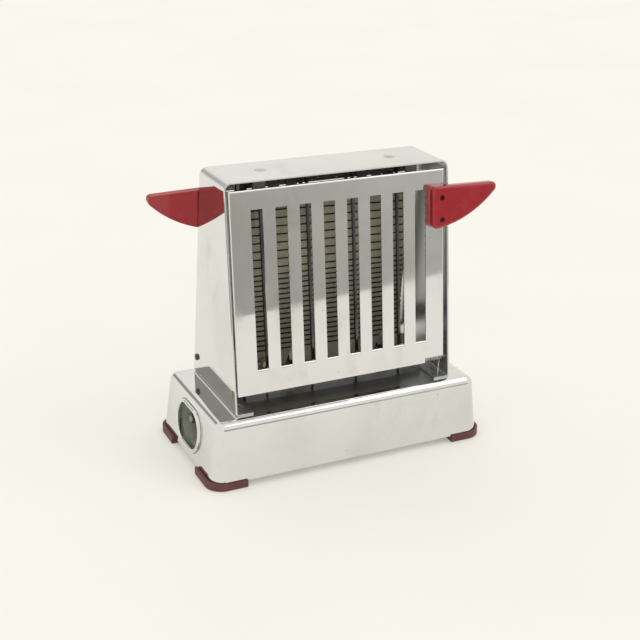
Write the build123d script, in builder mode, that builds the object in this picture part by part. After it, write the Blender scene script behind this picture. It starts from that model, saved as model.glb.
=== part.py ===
from build123d import *
from math import atan2, cos, degrees, pi, radians, sin, tan
import os

os.makedirs("parts", exist_ok=True)

# Toaster with two drop-down sides on a drawn base. Millimetres, +Z up. The origin lies on the
# surface that the toaster stands on, under its middle; X runs along the base, the front side
# faces -Y. Heights called "rise" are measured from the top of the base. The front and rear
# sides are the same parts, turned half a turn about the upright axis.

# ---- base shell ----
base_length = 189.0
base_width = 97.0
base_height = 37.8
base_draft = 6.9
base_corner_radius = 9.8
base_edge_radius = 5.0
base_sheet = 0.9
lug_length = 13.0
lug_reach = 9.5

# ---- bottom plate ----
plate_sheet = 0.8
plate_clearance = 0.4
vent_length = 26.0
vent_width = 3.2
vent_pitch_x = 34.0
vent_pitch_y = 9.0
vent_columns = 4
vent_rows = 5

# ---- corner feet ----
foot_height = 4.4
foot_lip_end = 2.2
foot_lip_side = 1.0
foot_lip_rise = 0.8
foot_lip_gap = 0.4
foot_arm_x = 24.5
foot_arm_y = 28.0
foot_arm_width = 12.0
foot_corner_radius = 11.2
foot_edge_chamfer = 0.5
foot_screw_from_end = 13.5
foot_screw_from_side = 6.6
foot_screw_radius = 1.45
foot_screw_head_radius = 2.8
foot_screw_head_height = 1.5
foot_screw_sink = 2.2
foot_screw_tail = 2.0

# ---- housing ----
housing_width = 150.0
housing_height = 141.4
housing_depth_low = 73.6
housing_depth_high = 38.4
housing_sheet = 1.1
housing_bend_radius = 5.0
tab_bend_radius = 2.0
tab_reach = 11.5

# ---- rivets ----
fit_clearance = 0.05
rivet_shank_radius = 1.5
rivet_head_radius = 2.7
rivet_head_height = 1.2
rivet_tail_height = 0.8
tab_rivet_inset = 7.6
tab_rivet_spread = 50.0
top_rivet_spread = 87.4
top_rivet_head_height = 0.5

# ---- doors ----
door_depth_low = 69.6
door_depth_high = 38.4
door_half_width = 72.4
door_bottom = 11.3
door_top = 137.1
door_sheet = 0.8
door_flange = 4.0
door_bend_radius = 1.2
slot_count = 8
slot_width = 7.6
slot_pitch = 15.7
slot_bottom = 26.5
slot_top = 125.0
lip_bend_radius = 1.3
lip_reach = 2.6

# ---- hinges ----
hinge_rise = 12.9
hinge_inset = 3.0
rod_radius = 1.15
rod_running_clearance = 0.08
rod_head_radius = 2.1
rod_head_height = 1.2
knuckle_length = 4.5
knuckle_start = 52.4
ear_radius = 2.2

# ---- closing springs ----
spring_notch_start = 58.2
spring_notch_top = 14.4
spring_wire_radius = 0.35
spring_rod_gap = 0.2
spring_pitch = 1.2
spring_turns = 10
spring_start = 59.0
spring_leg_rise = 9.0
spring_hook_reach = 1.3
spring_hole_clearance = 0.1
spring_foot_sink = 0.8
spring_foot_inset = 0.7
spring_knee_drop = 1.2
spring_foot_clearance = 0.25
spring_hook_bend = 1.5

# ---- turning fingers ----
finger_width = 6.0
finger_thickness = 0.8
finger_foot_top = 23.5
finger_foot_bottom = 15.3
finger_heel_reach = 20.5
finger_tip_reach = 4.9
finger_tip_rise = 36.4
finger_bend_radius = 1.2

# ---- handles ----
handle_inner = 60.4
handle_outer = 107.4
handle_top = 127.3
handle_tip_top = 126.2
handle_low = 100.0
handle_tip_low = 121.5
handle_tip_inset = 0.8
handle_sagitta = 4.7
handle_thickness = 5.9
handle_pad = 1.2
handle_pad_width = 11.4
handle_front_radius = 1.9
handle_back_radius = 0.5
handle_tip_radius = 3.0
handle_low_radius = 3.4
handle_top_radius = 2.0
handle_screw_inset = 6.4
handle_screw_high = 119.9
handle_screw_low = 106.1
handle_screw_radius = 1.2
handle_screw_head_radius = 1.65
handle_screw_head_height = 1.6
handle_screw_sink = 0.5
handle_screw_tail = 1.2
nut_flats = 5.0
nut_height = 1.6

# ---- heating element ----
card_half_width = 57.0
card_foot_half_width = 63.0
card_thickness = 0.8
card_shoulder_rise = 18.8
card_top_rise = 134.5
ribbon_width = 0.9
ribbon_thickness = 0.2
notch_depth = 1.0
notch_clearance = 0.25
first_turn_rise = 127.6
wide_pitch = 5.28
wide_turns = 10
narrow_pitch = 3.38
narrow_turns = 16

# ---- brackets that carry the element ----
bracket_sheet = 0.8
top_bracket_length = 120.0
bottom_bracket_length = 104.0
top_bracket_width = 26.0
bottom_bracket_width = 22.0
tongue_length = 10.0
tongue_width = 7.0
tongue_clearance = 0.1
front_tongue_centre = 24.0
rear_tongue_centre = 35.0
stop_ear_width = 8.0
stop_ear_centre = 51.0
stop_ear_drop = 7.0
stop_gap = 0.3
bottom_rivet_spread = 96.0
bottom_rivet_gap = 14.0

# ---- guard bars ----
guard_inset = 15.0
guard_bar_width = 2.4
guard_bar_sheet = 0.5
guard_bar_flange = 1.5
guard_bar_pitch = 31.0
guard_bar_count = 4
guard_rail_half_length = 62.0
guard_rail_height = 6.0
guard_rail_foot = 6.5
guard_rivet_spread = 62.0

# ---- appliance inlet ----
inlet_rise = -19.3
inlet_mouth_length = 37.0
inlet_mouth_height = 23.4
collar_wall = 1.0
collar_lip_width = 2.6
collar_lip_rise = 2.0
collar_lip_radius = 1.2
collar_depth = 2.5
cup_wall = 1.6
cup_floor = 4.5
cup_back_radius = 1.6
cup_depth = 17.0
pin_spacing = 19.0
pin_radius = 3.0
pin_reach = 13.5
pin_tip_radius = 1.4
pin_shoulder_radius = 2.0
pin_tail = 6.0
pin_nut_flats = 7.0
pin_nut_height = 2.2
clip_width = 9.0
clip_sheet = 1.0
clip_foot = 6.0
clip_hook = 3.0
clip_bend_radius = 1.4

# ---- leads ----
bush_radius = 3.4
bush_bore_radius = 1.7
bush_flange_radius = 4.6
bush_flange_height = 1.2
bush_drop = 3.0
lead_radius = 1.2
lead_eye_radius = 3.2
lead_eye_inner = 2.4
lead_eye_thickness = 2.6
lead_climb = 9.0
lead_bend_share = 0.4
lead_turn_length = 22.0
lead_turn_end = 8.0
bush_bracket_gap = 5.5
lead_spread = 13.0
low_terminal_x = -41.6
low_terminal_rise = 15.8
high_terminal_x = -52.5
high_terminal_rise = 129.5
terminal_screw_radius = 1.3
terminal_head_radius = 2.4
terminal_head_height = 1.4
terminal_tail = 0.8

# ---- places that follow from the sizes ----
base_top = foot_height + base_height
base_lean = base_height * tan(radians(base_draft))
housing_top = base_top + housing_height
housing_half = housing_width / 2
tab_rivet_x = housing_half - tab_rivet_inset
foot_screw_x = base_length / 2 - foot_screw_from_end
foot_screw_y = base_width / 2 - foot_screw_from_side


def leaning_plane(depth_low, depth_high):
    """Front plane through two overall depths, one at the base top and one at the housing top."""
    tilt = atan2((depth_low - depth_high) / 2, housing_height)
    return Plane(
        origin=(0, -depth_low / 2, base_top),
        x_dir=(1, 0, 0),
        z_dir=(0, -cos(tilt), sin(tilt)),
    )


def side_profile_plane(front_plane):
    """Plane across X whose own X points out of the front plane and own Y runs up its slope."""
    return Plane(origin=front_plane.origin, x_dir=front_plane.z_dir, z_dir=(-1, 0, 0))


def domed_rivet(head_radius, head_height, shank_radius, grip, tail_height):
    """Rivet on Z: domed head above zero, shank through the grip, flat closed head below it."""
    with BuildPart() as rivet:
        with BuildSketch(Plane.XZ):
            with BuildLine():
                TangentArc((0, head_height), (head_radius, 0), tangent=(1, 0))
                Polyline(
                    (head_radius, 0),
                    (shank_radius, 0),
                    (shank_radius, -grip),
                    (head_radius * 0.8, -grip),
                    (head_radius * 0.8, -grip - tail_height),
                    (0, -grip - tail_height),
                    (0, head_height),
                )
            make_face()
        revolve(axis=Axis.Z)
    return rivet.part


def cheese_screw(head_radius, head_height, shank_radius, length):
    """Slotted screw on Z: head below zero with its seat at zero, shank rising from it."""
    slot_depth = head_height * 0.4
    slot_breadth = head_radius * 0.35
    with BuildPart() as screw:
        with BuildSketch():
            Circle(head_radius)
        extrude(amount=-head_height)
        with BuildSketch():
            Circle(shank_radius)
        extrude(amount=length)
        with BuildSketch(Plane.XY.offset(-head_height)):
            Rectangle(head_radius * 3, slot_breadth)
        extrude(amount=slot_depth, mode=Mode.SUBTRACT)
    return screw.part


def drawn_block(inset):
    """Drawn base form with leaning walls, every outer face moved in by the inset."""
    with BuildPart() as block:
        with BuildSketch(Plane.XY.offset(foot_height)):
            RectangleRounded(base_length - 2 * inset, base_width - 2 * inset, base_corner_radius - inset)
        extrude(amount=base_height - inset, taper=base_draft)
        fillet(faces().sort_by(Axis.Z)[-1].edges(), radius=base_edge_radius - inset)
    return block.part


edge_plane = leaning_plane(housing_depth_low, housing_depth_high)
door_plane = leaning_plane(door_depth_low, door_depth_high)
guard_plane = edge_plane.offset(-guard_inset)
door_side = side_profile_plane(door_plane)
half_turn = Location((0, 0, 0), (0, 0, 180))
hinge = door_plane.from_local_coords(Vector(0, hinge_rise, -hinge_inset))
door_lean = atan2((door_depth_low - door_depth_high) / 2, housing_height)
coil_radius = rod_radius + spring_rod_gap + spring_wire_radius
handle_screw_x = handle_inner + handle_screw_inset
handle_face = handle_pad + handle_thickness
handle_seat = handle_face - handle_screw_sink - handle_screw_head_height
half_eye = lead_eye_thickness / 2
coil_right = spring_start + spring_turns * spring_pitch
coil_slope = atan2(spring_pitch, 2 * pi * coil_radius)
spring_leg_drop = hinge.Z - base_top - housing_sheet + spring_foot_sink
lead_x = -bottom_bracket_length / 2 - bush_bracket_gap
guard_foot_y = guard_plane.from_local_coords(Vector(0, 0, -guard_bar_sheet)).Y
guard_rivet_y = guard_foot_y + bracket_sheet + guard_rail_foot / 2
end_tilt = atan2(base_lean, base_height)
inlet_plane = Plane(
    origin=((base_height + inlet_rise) * base_lean / base_height - base_length / 2, 0, base_top + inlet_rise),
    x_dir=(0, -1, 0),
    z_dir=(-cos(end_tilt), 0, sin(end_tilt)),
)

outward_axis = Axis((0, 0, 0), inlet_plane.z_dir)

# ---- base shell: drawn box, open below, with four lugs that the feet are screwed to ----
lug_bottom = foot_height + plate_sheet
with BuildPart() as base_shell:
    add(drawn_block(0))
    add(drawn_block(base_sheet), mode=Mode.SUBTRACT)
    for side in (-1, 1):
        lug_y = side * (base_width / 2 - base_sheet / 2 - lug_reach / 2)
        with Locations((-foot_screw_x, lug_y, lug_bottom), (foot_screw_x, lug_y, lug_bottom)):
            Box(lug_length, lug_reach, base_sheet, align=(Align.CENTER, Align.CENTER, Align.MIN))
    with BuildSketch(Plane.XY.offset(foot_height)):
        with GridLocations(2 * foot_screw_x, 2 * foot_screw_y, 2, 2):
            Circle(foot_screw_radius + fit_clearance)
    extrude(amount=base_height / 2, mode=Mode.SUBTRACT)
    with BuildSketch(Plane.XY.offset(base_top)):
        with GridLocations(2 * tab_rivet_x, tab_rivet_spread, 2, 2):
            Circle(rivet_shank_radius + fit_clearance)
        with GridLocations(bottom_rivet_spread, bottom_rivet_gap, 2, 2):
            Circle(rivet_shank_radius + fit_clearance)
        with GridLocations(guard_rivet_spread, 2 * guard_rivet_y, 2, 2):
            Circle(rivet_shank_radius + fit_clearance)
        with Locations((lead_x, -lead_spread / 2), (lead_x, lead_spread / 2)):
            Circle(bush_radius + fit_clearance)
    extrude(amount=-2 * base_sheet, mode=Mode.SUBTRACT)
    with BuildSketch(inlet_plane.offset(base_sheet)):
        SlotOverall(inlet_mouth_length + 2 * collar_wall + 2 * fit_clearance,
                    inlet_mouth_height + 2 * collar_wall + 2 * fit_clearance)
    extrude(amount=-3 * base_sheet, mode=Mode.SUBTRACT)
base_shell.part.label = "base_shell"
export_step(base_shell.part, "parts/base_shell.step")

# ---- bottom plate: closes the base between the lugs and the feet, with vents ----
plate_inset = base_sheet + plate_clearance
with BuildPart() as bottom_plate:
    with BuildSketch(Plane.XY.offset(foot_height)):
        RectangleRounded(base_length - 2 * plate_inset, base_width - 2 * plate_inset,
                         base_corner_radius - plate_inset)
        with GridLocations(vent_pitch_x, vent_pitch_y, vent_columns, vent_rows):
            SlotOverall(vent_length, vent_width, mode=Mode.SUBTRACT)
        with GridLocations(2 * foot_screw_x, 2 * foot_screw_y, 2, 2):
            Circle(foot_screw_radius + fit_clearance, mode=Mode.SUBTRACT)
    extrude(amount=plate_sheet)
bottom_plate.part.label = "bottom_plate"
export_step(bottom_plate.part, "parts/bottom_plate.step")

# ---- corner feet: angles under the rim, with a low lip round the outside ----
foot_half_x = base_length / 2 + foot_lip_end
foot_half_y = base_width / 2 + foot_lip_side
with BuildPart() as foot:
    with BuildSketch():
        RectangleRounded(2 * foot_half_x, 2 * foot_half_y, foot_corner_radius)
        with Locations((foot_half_x - foot_arm_width, foot_half_y - foot_arm_width)):
            Rectangle(3 * foot_half_x, 3 * foot_half_y, align=(Align.MAX, Align.MAX), mode=Mode.SUBTRACT)
        with Locations((foot_half_x - foot_arm_x, 0)):
            Rectangle(3 * foot_half_x, 3 * foot_half_y, align=(Align.MAX, Align.CENTER), mode=Mode.SUBTRACT)
        with Locations((0, foot_half_y - foot_arm_y)):
            Rectangle(3 * foot_half_x, 3 * foot_half_y, align=(Align.CENTER, Align.MAX), mode=Mode.SUBTRACT)
    extrude(amount=foot_height + foot_lip_rise)
    with BuildSketch(Plane.XY.offset(foot_height)):
        RectangleRounded(base_length + 2 * foot_lip_gap, base_width + 2 * foot_lip_gap,
                         base_corner_radius + foot_lip_gap)
    extrude(amount=2 * foot_lip_rise, mode=Mode.SUBTRACT)
    chamfer(faces().sort_by(Axis.Z)[0].edges(), length=foot_edge_chamfer)
    with Locations(Location((foot_screw_x, foot_screw_y, 0), (180, 0, 0))):
        CounterBoreHole(foot_screw_radius + fit_clearance, foot_screw_head_radius + 2 * fit_clearance,
                        foot_screw_sink)
feet = {
    "foot_rear_right": foot.part,
    "foot_front_right": foot.part.mirror(Plane.XZ),
    "foot_rear_left": foot.part.mirror(Plane.YZ),
    "foot_front_left": foot.part.mirror(Plane.XZ).mirror(Plane.YZ),
}
for foot_name, foot_form in feet.items():
    with BuildPart() as corner_foot:
        add(foot_form)
    corner_foot.part.label = foot_name
    export_step(corner_foot.part, f"parts/{foot_name}.step")

foot_screw_length = foot_height - foot_screw_sink + plate_sheet + base_sheet + foot_screw_tail
with BuildPart() as foot_screws:
    with Locations(Plane.XY.offset(foot_screw_sink)):
        with GridLocations(2 * foot_screw_x, 2 * foot_screw_y, 2, 2):
            add(cheese_screw(foot_screw_head_radius, foot_screw_head_height, foot_screw_radius,
                             foot_screw_length))
foot_screws.part.label = "foot_screws"
export_step(foot_screws.part, "parts/foot_screws.step")

# ---- housing: one bent strip, flat top, two tapering walls and two tabs on the base ----
with BuildPart() as housing_shell:
    with BuildSketch(Plane.XZ):
        with BuildLine():
            outer_half, tab_end = housing_half, housing_half - tab_reach
            strip_outside = FilletPolyline(
                (tab_end, base_top), (outer_half, base_top), (outer_half, housing_top),
                (-outer_half, housing_top), (-outer_half, base_top), (-tab_end, base_top),
                radius=(tab_bend_radius, housing_bend_radius, housing_bend_radius, tab_bend_radius),
            )
            inner_half, inner_top = housing_half - housing_sheet, housing_top - housing_sheet
            tab_top = base_top + housing_sheet
            strip_inside = FilletPolyline(
                (tab_end, tab_top), (inner_half, tab_top), (inner_half, inner_top),
                (-inner_half, inner_top), (-inner_half, tab_top), (-tab_end, tab_top),
                radius=(
                    tab_bend_radius - housing_sheet, housing_bend_radius - housing_sheet,
                    housing_bend_radius - housing_sheet, tab_bend_radius - housing_sheet,
                ),
            )
            Line(strip_outside @ 0, strip_inside @ 0)
            Line(strip_outside @ 1, strip_inside @ 1)
        make_face()
    extrude(amount=housing_depth_low / 2, both=True)
    split(bisect_by=edge_plane, keep=Keep.BOTTOM)
    split(bisect_by=Plane(half_turn * edge_plane.location), keep=Keep.BOTTOM)
    with BuildSketch(Plane.YZ):
        with Locations((hinge.Y, hinge.Z), (-hinge.Y, hinge.Z)):
            Circle(rod_radius + fit_clearance)
    extrude(amount=housing_width, both=True, mode=Mode.SUBTRACT)
    with BuildSketch(Plane.XY.offset(base_top)):
        with GridLocations(2 * tab_rivet_x, tab_rivet_spread, 2, 2):
            Circle(rivet_shank_radius + fit_clearance)
        spring_foot_x = coil_right - spring_foot_inset
        spring_foot_y = hinge.Y - coil_radius
        with Locations((spring_foot_x, spring_foot_y), (-spring_foot_x, -spring_foot_y)):
            Circle(spring_wire_radius + spring_foot_clearance)
    extrude(amount=2 * housing_sheet, mode=Mode.SUBTRACT)
    with BuildSketch(Plane.XY.offset(housing_top)):
        with GridLocations(top_rivet_spread, 0, 2, 1):
            Circle(rivet_shank_radius + fit_clearance)
    extrude(amount=-2 * housing_sheet, mode=Mode.SUBTRACT)
housing_shell.part.label = "housing_shell"
export_step(housing_shell.part, "parts/housing_shell.step")

with BuildPart() as tab_rivets:
    with Locations(Plane.XY.offset(base_top + housing_sheet)):
        with GridLocations(2 * tab_rivet_x, tab_rivet_spread, 2, 2):
            add(domed_rivet(rivet_head_radius, rivet_head_height, rivet_shank_radius,
                            housing_sheet + base_sheet, rivet_tail_height))
tab_rivets.part.label = "tab_rivets"
export_step(tab_rivets.part, "parts/tab_rivets.step")

with BuildPart() as top_rivets:
    with Locations(Plane.XY.offset(housing_top)):
        with GridLocations(top_rivet_spread, 0, 2, 1):
            add(domed_rivet(rivet_head_radius, top_rivet_head_height, rivet_shank_radius,
                            housing_sheet + bracket_sheet, rivet_tail_height))
top_rivets.part.label = "top_rivets"
export_step(top_rivets.part, "parts/top_rivets.step")

# ---- hinge rods: straight wire through both walls, upset at both ends ----
with BuildPart() as hinge_rod_front:
    rod_axis = Plane(origin=(0, hinge.Y, hinge.Z), x_dir=(0, 1, 0), z_dir=(1, 0, 0))
    with BuildSketch(rod_axis):
        Circle(rod_radius)
    extrude(amount=housing_half, both=True)
    for outward in (1, -1):
        with BuildSketch(rod_axis.offset(outward * housing_half)):
            Circle(rod_head_radius)
        extrude(amount=outward * rod_head_height)
    fillet(faces().sort_by(Axis.X)[-1].edges() + faces().sort_by(Axis.X)[0].edges(),
           radius=rod_head_height / 2)

# ---- closing springs: coil on the rod, one leg in the base tab, one hooked into the door ----
with BuildPart() as spring_form:
    with BuildLine() as spring_line:
        coil = Helix(spring_pitch, spring_pitch * (spring_turns + degrees(door_lean) / 360), coil_radius)
        knee = (coil @ 0) - (coil % 0) * spring_knee_drop
        foot_leg = FilletPolyline((coil_radius, -spring_leg_drop, spring_foot_inset), knee, coil @ 0,
                                  radius=spring_hook_bend)
        leg_end = (coil @ 1) + (coil % 1) * (spring_leg_rise / cos(coil_slope))
        hook_end = (leg_end.X, leg_end.Y, coil_right - door_half_width - spring_hook_reach)
        FilletPolyline(coil @ 1, leg_end, hook_end, radius=spring_hook_bend)
    # A six-sided wire keeps the coil light in faces.
    with BuildSketch(Plane(origin=foot_leg @ 0, z_dir=foot_leg % 0)):
        RegularPolygon(spring_wire_radius, 6)
    sweep(path=spring_line.wires()[0])
with BuildPart() as closing_spring_front:
    with Locations(Plane(origin=(coil_right, hinge.Y, hinge.Z), x_dir=(0, -1, 0), z_dir=(-1, 0, 0))):
        add(spring_form.part)

# ---- doors: shallow folded tray with eight slots, hung at an ear and a knuckle ----
with BuildPart() as door_front:
    with BuildSketch(door_plane):
        with Locations((0, door_bottom)):
            Rectangle(2 * door_half_width, door_top - door_bottom, align=(Align.CENTER, Align.MIN))
    extrude(amount=-door_flange)
    front_rim = faces().sort_by(Axis((0, 0, 0), door_plane.z_dir))[-1].edges()
    fillet(front_rim.sort_by(Axis.Z)[1:], radius=door_bend_radius)
    with BuildSketch(door_plane.offset(-door_sheet)):
        with Locations((0, door_bottom)):
            Rectangle(2 * (door_half_width - door_sheet), door_top - door_sheet - door_bottom,
                      align=(Align.CENTER, Align.MIN))
    extrude(amount=-door_flange, mode=Mode.SUBTRACT)
    slot_height = slot_top - slot_bottom
    with BuildSketch(door_plane):
        with Locations((0, slot_bottom - lip_bend_radius)):
            with GridLocations(slot_pitch, 0, slot_count, 1):
                Rectangle(slot_width, slot_height + lip_bend_radius, align=(Align.CENTER, Align.MIN))
    extrude(amount=-2 * door_sheet, mode=Mode.SUBTRACT)
    # Under each slot the sheet is turned inwards through a quarter bend.
    slot_middles = [slot_pitch * (i - (slot_count - 1) / 2) for i in range(slot_count)]
    with BuildSketch(*[door_side.offset(-middle) for middle in slot_middles]):
        with BuildLine():
            outer_bend = TangentArc((0, slot_bottom - lip_bend_radius), (-lip_bend_radius, slot_bottom),
                                    tangent=(0, 1))
            inner_bend = TangentArc((-door_sheet, slot_bottom - lip_bend_radius),
                                    (-lip_bend_radius, slot_bottom - door_sheet), tangent=(0, 1))
            Polyline(outer_bend @ 1, (-lip_reach, slot_bottom), (-lip_reach, slot_bottom - door_sheet),
                     inner_bend @ 1)
            Line(outer_bend @ 0, inner_bend @ 0)
        make_face()
    extrude(amount=slot_width / 2, both=True)
    # Notch at one lower corner, where the closing spring lies on the rod.
    with BuildSketch(door_plane.offset(door_sheet)):
        with Locations((spring_notch_start, door_bottom - ear_radius)):
            Rectangle(door_half_width, spring_notch_top - door_bottom + ear_radius,
                      align=(Align.MIN, Align.MIN))
    extrude(amount=-2 * door_flange, mode=Mode.SUBTRACT)
    # Ear at the plain end: the flange carries on round the rod.
    with BuildSketch(door_side.offset(door_half_width)):
        with Locations((-hinge_inset, hinge_rise)):
            Circle(ear_radius)
    extrude(amount=-door_sheet)
    # Knuckle beside the notch: a tongue of the sheet curled round the rod.
    with BuildSketch(door_side.offset(-knuckle_start)):
        with Locations((-hinge_inset, hinge_rise)):
            Circle(rod_radius + rod_running_clearance + door_sheet)
        with Locations((-door_sheet / 2, hinge_rise)):
            Rectangle(hinge_inset - door_sheet / 2, rod_radius + rod_running_clearance + door_sheet,
                      align=(Align.MAX, Align.MIN))
    extrude(amount=-knuckle_length)
    with BuildSketch(Plane.YZ):
        with Locations((hinge.Y, hinge.Z)):
            Circle(rod_radius + rod_running_clearance)
    extrude(amount=housing_width, both=True, mode=Mode.SUBTRACT)
    with BuildSketch(door_plane):
        with Locations((handle_screw_x, handle_screw_high), (handle_screw_x, handle_screw_low)):
            Circle(handle_screw_radius + fit_clearance)
    extrude(amount=-2 * door_sheet, mode=Mode.SUBTRACT)
    with BuildSketch(door_side.offset(-door_half_width)):
        with Locations((coil_radius - hinge_inset, hinge_rise + spring_leg_rise)):
            Circle(spring_wire_radius + spring_hole_clearance)
    extrude(amount=2 * door_sheet, both=True, mode=Mode.SUBTRACT)

# ---- turning fingers: strips welded behind the door that swing the slice over ----
with BuildPart() as turning_fingers_front:
    finger_middle = 2 * slot_pitch
    with BuildSketch(door_side.offset(-finger_middle), door_side.offset(finger_middle)):
        with BuildLine():
            strip = FilletPolyline(
                (-door_sheet, finger_foot_top), (-door_sheet, finger_foot_bottom),
                (-finger_heel_reach, finger_foot_bottom), (-finger_tip_reach, finger_tip_rise),
                radius=finger_bend_radius,
            )
            offset(strip, amount=finger_thickness, side=Side.RIGHT)
        make_face()
    extrude(amount=finger_width / 2, both=True)

# ---- handles: thick moulded blades standing off the door on a pad ----
with BuildPart() as handle_front:
    with BuildSketch(door_plane):
        with BuildLine():
            Polyline((handle_inner, handle_low), (handle_inner, handle_top), (handle_outer, handle_tip_top),
                     (handle_outer - handle_tip_inset, handle_tip_low))
            SagittaArc((handle_outer - handle_tip_inset, handle_tip_low), (handle_inner, handle_low),
                       handle_sagitta)
        make_face()
    extrude(amount=handle_face)
    corner_edges = edges().filter_by(Axis((0, 0, 0), door_plane.z_dir)).sort_by(Axis.X)
    fillet(corner_edges[2:], radius=handle_tip_radius)
    inner_corners = edges().filter_by(Axis((0, 0, 0), door_plane.z_dir)).sort_by(Axis.X)[:2].sort_by(Axis.Z)
    fillet(inner_corners[0], radius=handle_low_radius)
    fillet(inner_corners[1], radius=handle_top_radius)
    across_door = Axis((0, 0, 0), door_plane.z_dir)
    fillet(faces().sort_by(across_door)[-1].edges(), radius=handle_front_radius)
    fillet(faces().sort_by(across_door)[0].edges(), radius=handle_back_radius)
    # Past the pad the back is cut away, to clear the housing's edge.
    with BuildSketch(door_plane):
        with Locations((handle_inner + handle_pad_width, handle_top)):
            Rectangle(handle_outer, 2 * handle_top, align=(Align.MIN, Align.CENTER))
    extrude(amount=handle_pad, mode=Mode.SUBTRACT)
    with BuildSketch(door_plane):
        with Locations((handle_screw_x, handle_screw_high), (handle_screw_x, handle_screw_low)):
            Circle(handle_screw_radius + fit_clearance)
    extrude(amount=handle_face, mode=Mode.SUBTRACT)
    with BuildSketch(door_plane.offset(handle_seat)):
        with Locations((handle_screw_x, handle_screw_high), (handle_screw_x, handle_screw_low)):
            Circle(handle_screw_head_radius + fit_clearance)
    extrude(amount=handle_face, mode=Mode.SUBTRACT)

with BuildPart() as handle_screws_front:
    into_door = Plane(origin=door_plane.offset(handle_seat).origin, x_dir=(1, 0, 0), z_dir=-door_plane.z_dir)
    with Locations(into_door):
        with Locations((handle_screw_x, -handle_screw_high, 0), (handle_screw_x, -handle_screw_low, 0)):
            add(cheese_screw(handle_screw_head_radius, handle_screw_head_height, handle_screw_radius,
                             handle_seat + door_sheet + nut_height + handle_screw_tail))

with BuildPart() as handle_nuts_front:
    with BuildSketch(door_plane.offset(-door_sheet)):
        with Locations((handle_screw_x, handle_screw_high), (handle_screw_x, handle_screw_low)):
            RegularPolygon(nut_flats / 2, 6, major_radius=False)
            Circle(handle_screw_radius + fit_clearance, mode=Mode.SUBTRACT)
    extrude(amount=-nut_height)

# ---- heating element: mica card wound with flat resistance ribbon ----
run_half = card_half_width - notch_depth + ribbon_thickness
turn_rises = [first_turn_rise - wide_pitch * (i + 1) for i in range(wide_turns)]
turn_rises += [turn_rises[-1] - narrow_pitch * (i + 1) for i in range(narrow_turns)]
with BuildPart() as mica_card:
    with BuildSketch(Plane.XZ):
        with Locations((0, base_top + bracket_sheet)):
            Rectangle(2 * card_foot_half_width, card_shoulder_rise - bracket_sheet,
                      align=(Align.CENTER, Align.MIN))
            Rectangle(2 * card_half_width, card_top_rise - bracket_sheet, align=(Align.CENTER, Align.MIN))
        for rise in turn_rises:
            with Locations((-card_half_width, base_top + rise), (card_half_width, base_top + rise)):
                Rectangle(2 * notch_depth, ribbon_width + 2 * notch_clearance, mode=Mode.SUBTRACT)
        with Locations((low_terminal_x, base_top + low_terminal_rise),
                       (high_terminal_x, base_top + high_terminal_rise)):
            Circle(terminal_screw_radius + fit_clearance, mode=Mode.SUBTRACT)
    extrude(amount=card_thickness / 2, both=True)

half_ribbon = ribbon_width / 2
with BuildPart() as heating_ribbon:
    # Sloping runs on the front face; the first leaves the upper terminal, the last meets the lower.
    with BuildSketch(Plane.XZ.offset(card_thickness / 2)):
        starts = [(high_terminal_x, high_terminal_rise)] + [(-run_half, rise) for rise in turn_rises]
        ends = [(run_half, rise) for rise in turn_rises] + [(low_terminal_x, low_terminal_rise)]
        for start, end in zip(starts, ends):
            with BuildLine():
                Polyline((start[0], base_top + start[1] - half_ribbon),
                         (end[0], base_top + end[1] - half_ribbon),
                         (end[0], base_top + end[1] + half_ribbon),
                         (start[0], base_top + start[1] + half_ribbon), close=True)
            make_face()
        terminal_spots = Locations((low_terminal_x, base_top + low_terminal_rise),
                                   (high_terminal_x, base_top + high_terminal_rise))
        with terminal_spots:
            Circle(terminal_head_radius)
            Circle(terminal_screw_radius + fit_clearance, mode=Mode.SUBTRACT)
    extrude(amount=ribbon_thickness)
    # Level runs on the rear face, and short links through the notches.
    with BuildSketch(Plane.XZ.offset(-card_thickness / 2)):
        with Locations(*[(0, base_top + rise) for rise in turn_rises]):
            Rectangle(2 * run_half, ribbon_width)
    extrude(amount=-ribbon_thickness)
    with BuildSketch(Plane.XZ):
        with Locations(*[(side * (run_half - ribbon_thickness / 2), base_top + rise)
                         for side in (-1, 1) for rise in turn_rises]):
            Rectangle(ribbon_thickness, ribbon_width)
    extrude(amount=card_thickness / 2 + ribbon_thickness, both=True)
mica_card.part.label = "mica_card"
export_step(mica_card.part, "parts/mica_card.step")
heating_ribbon.part.label = "heating_ribbon"
export_step(heating_ribbon.part, "parts/heating_ribbon.step")

# ---- brackets: plates with lanced tongues that grip the card from both sides ----
def card_bracket(length, width):
    """Plate below zero height, its tongues hanging in front of and behind the card's plane."""
    grip_face = card_thickness / 2 + tongue_clearance
    with BuildPart() as bracket:
        with BuildSketch():
            Rectangle(length, width)
            with Locations((-front_tongue_centre, -grip_face), (front_tongue_centre, -grip_face)):
                Rectangle(tongue_width, tongue_length, align=(Align.CENTER, Align.MIN), mode=Mode.SUBTRACT)
            with Locations((-rear_tongue_centre, grip_face), (rear_tongue_centre, grip_face)):
                Rectangle(tongue_width, tongue_length, align=(Align.CENTER, Align.MAX), mode=Mode.SUBTRACT)
        extrude(amount=-bracket_sheet)
        with BuildSketch():
            with Locations((-front_tongue_centre, -grip_face), (front_tongue_centre, -grip_face)):
                Rectangle(tongue_width, bracket_sheet, align=(Align.CENTER, Align.MAX))
            with Locations((-rear_tongue_centre, grip_face), (rear_tongue_centre, grip_face)):
                Rectangle(tongue_width, bracket_sheet, align=(Align.CENTER, Align.MIN))
        extrude(amount=-tongue_length)
    return bracket.part


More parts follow.
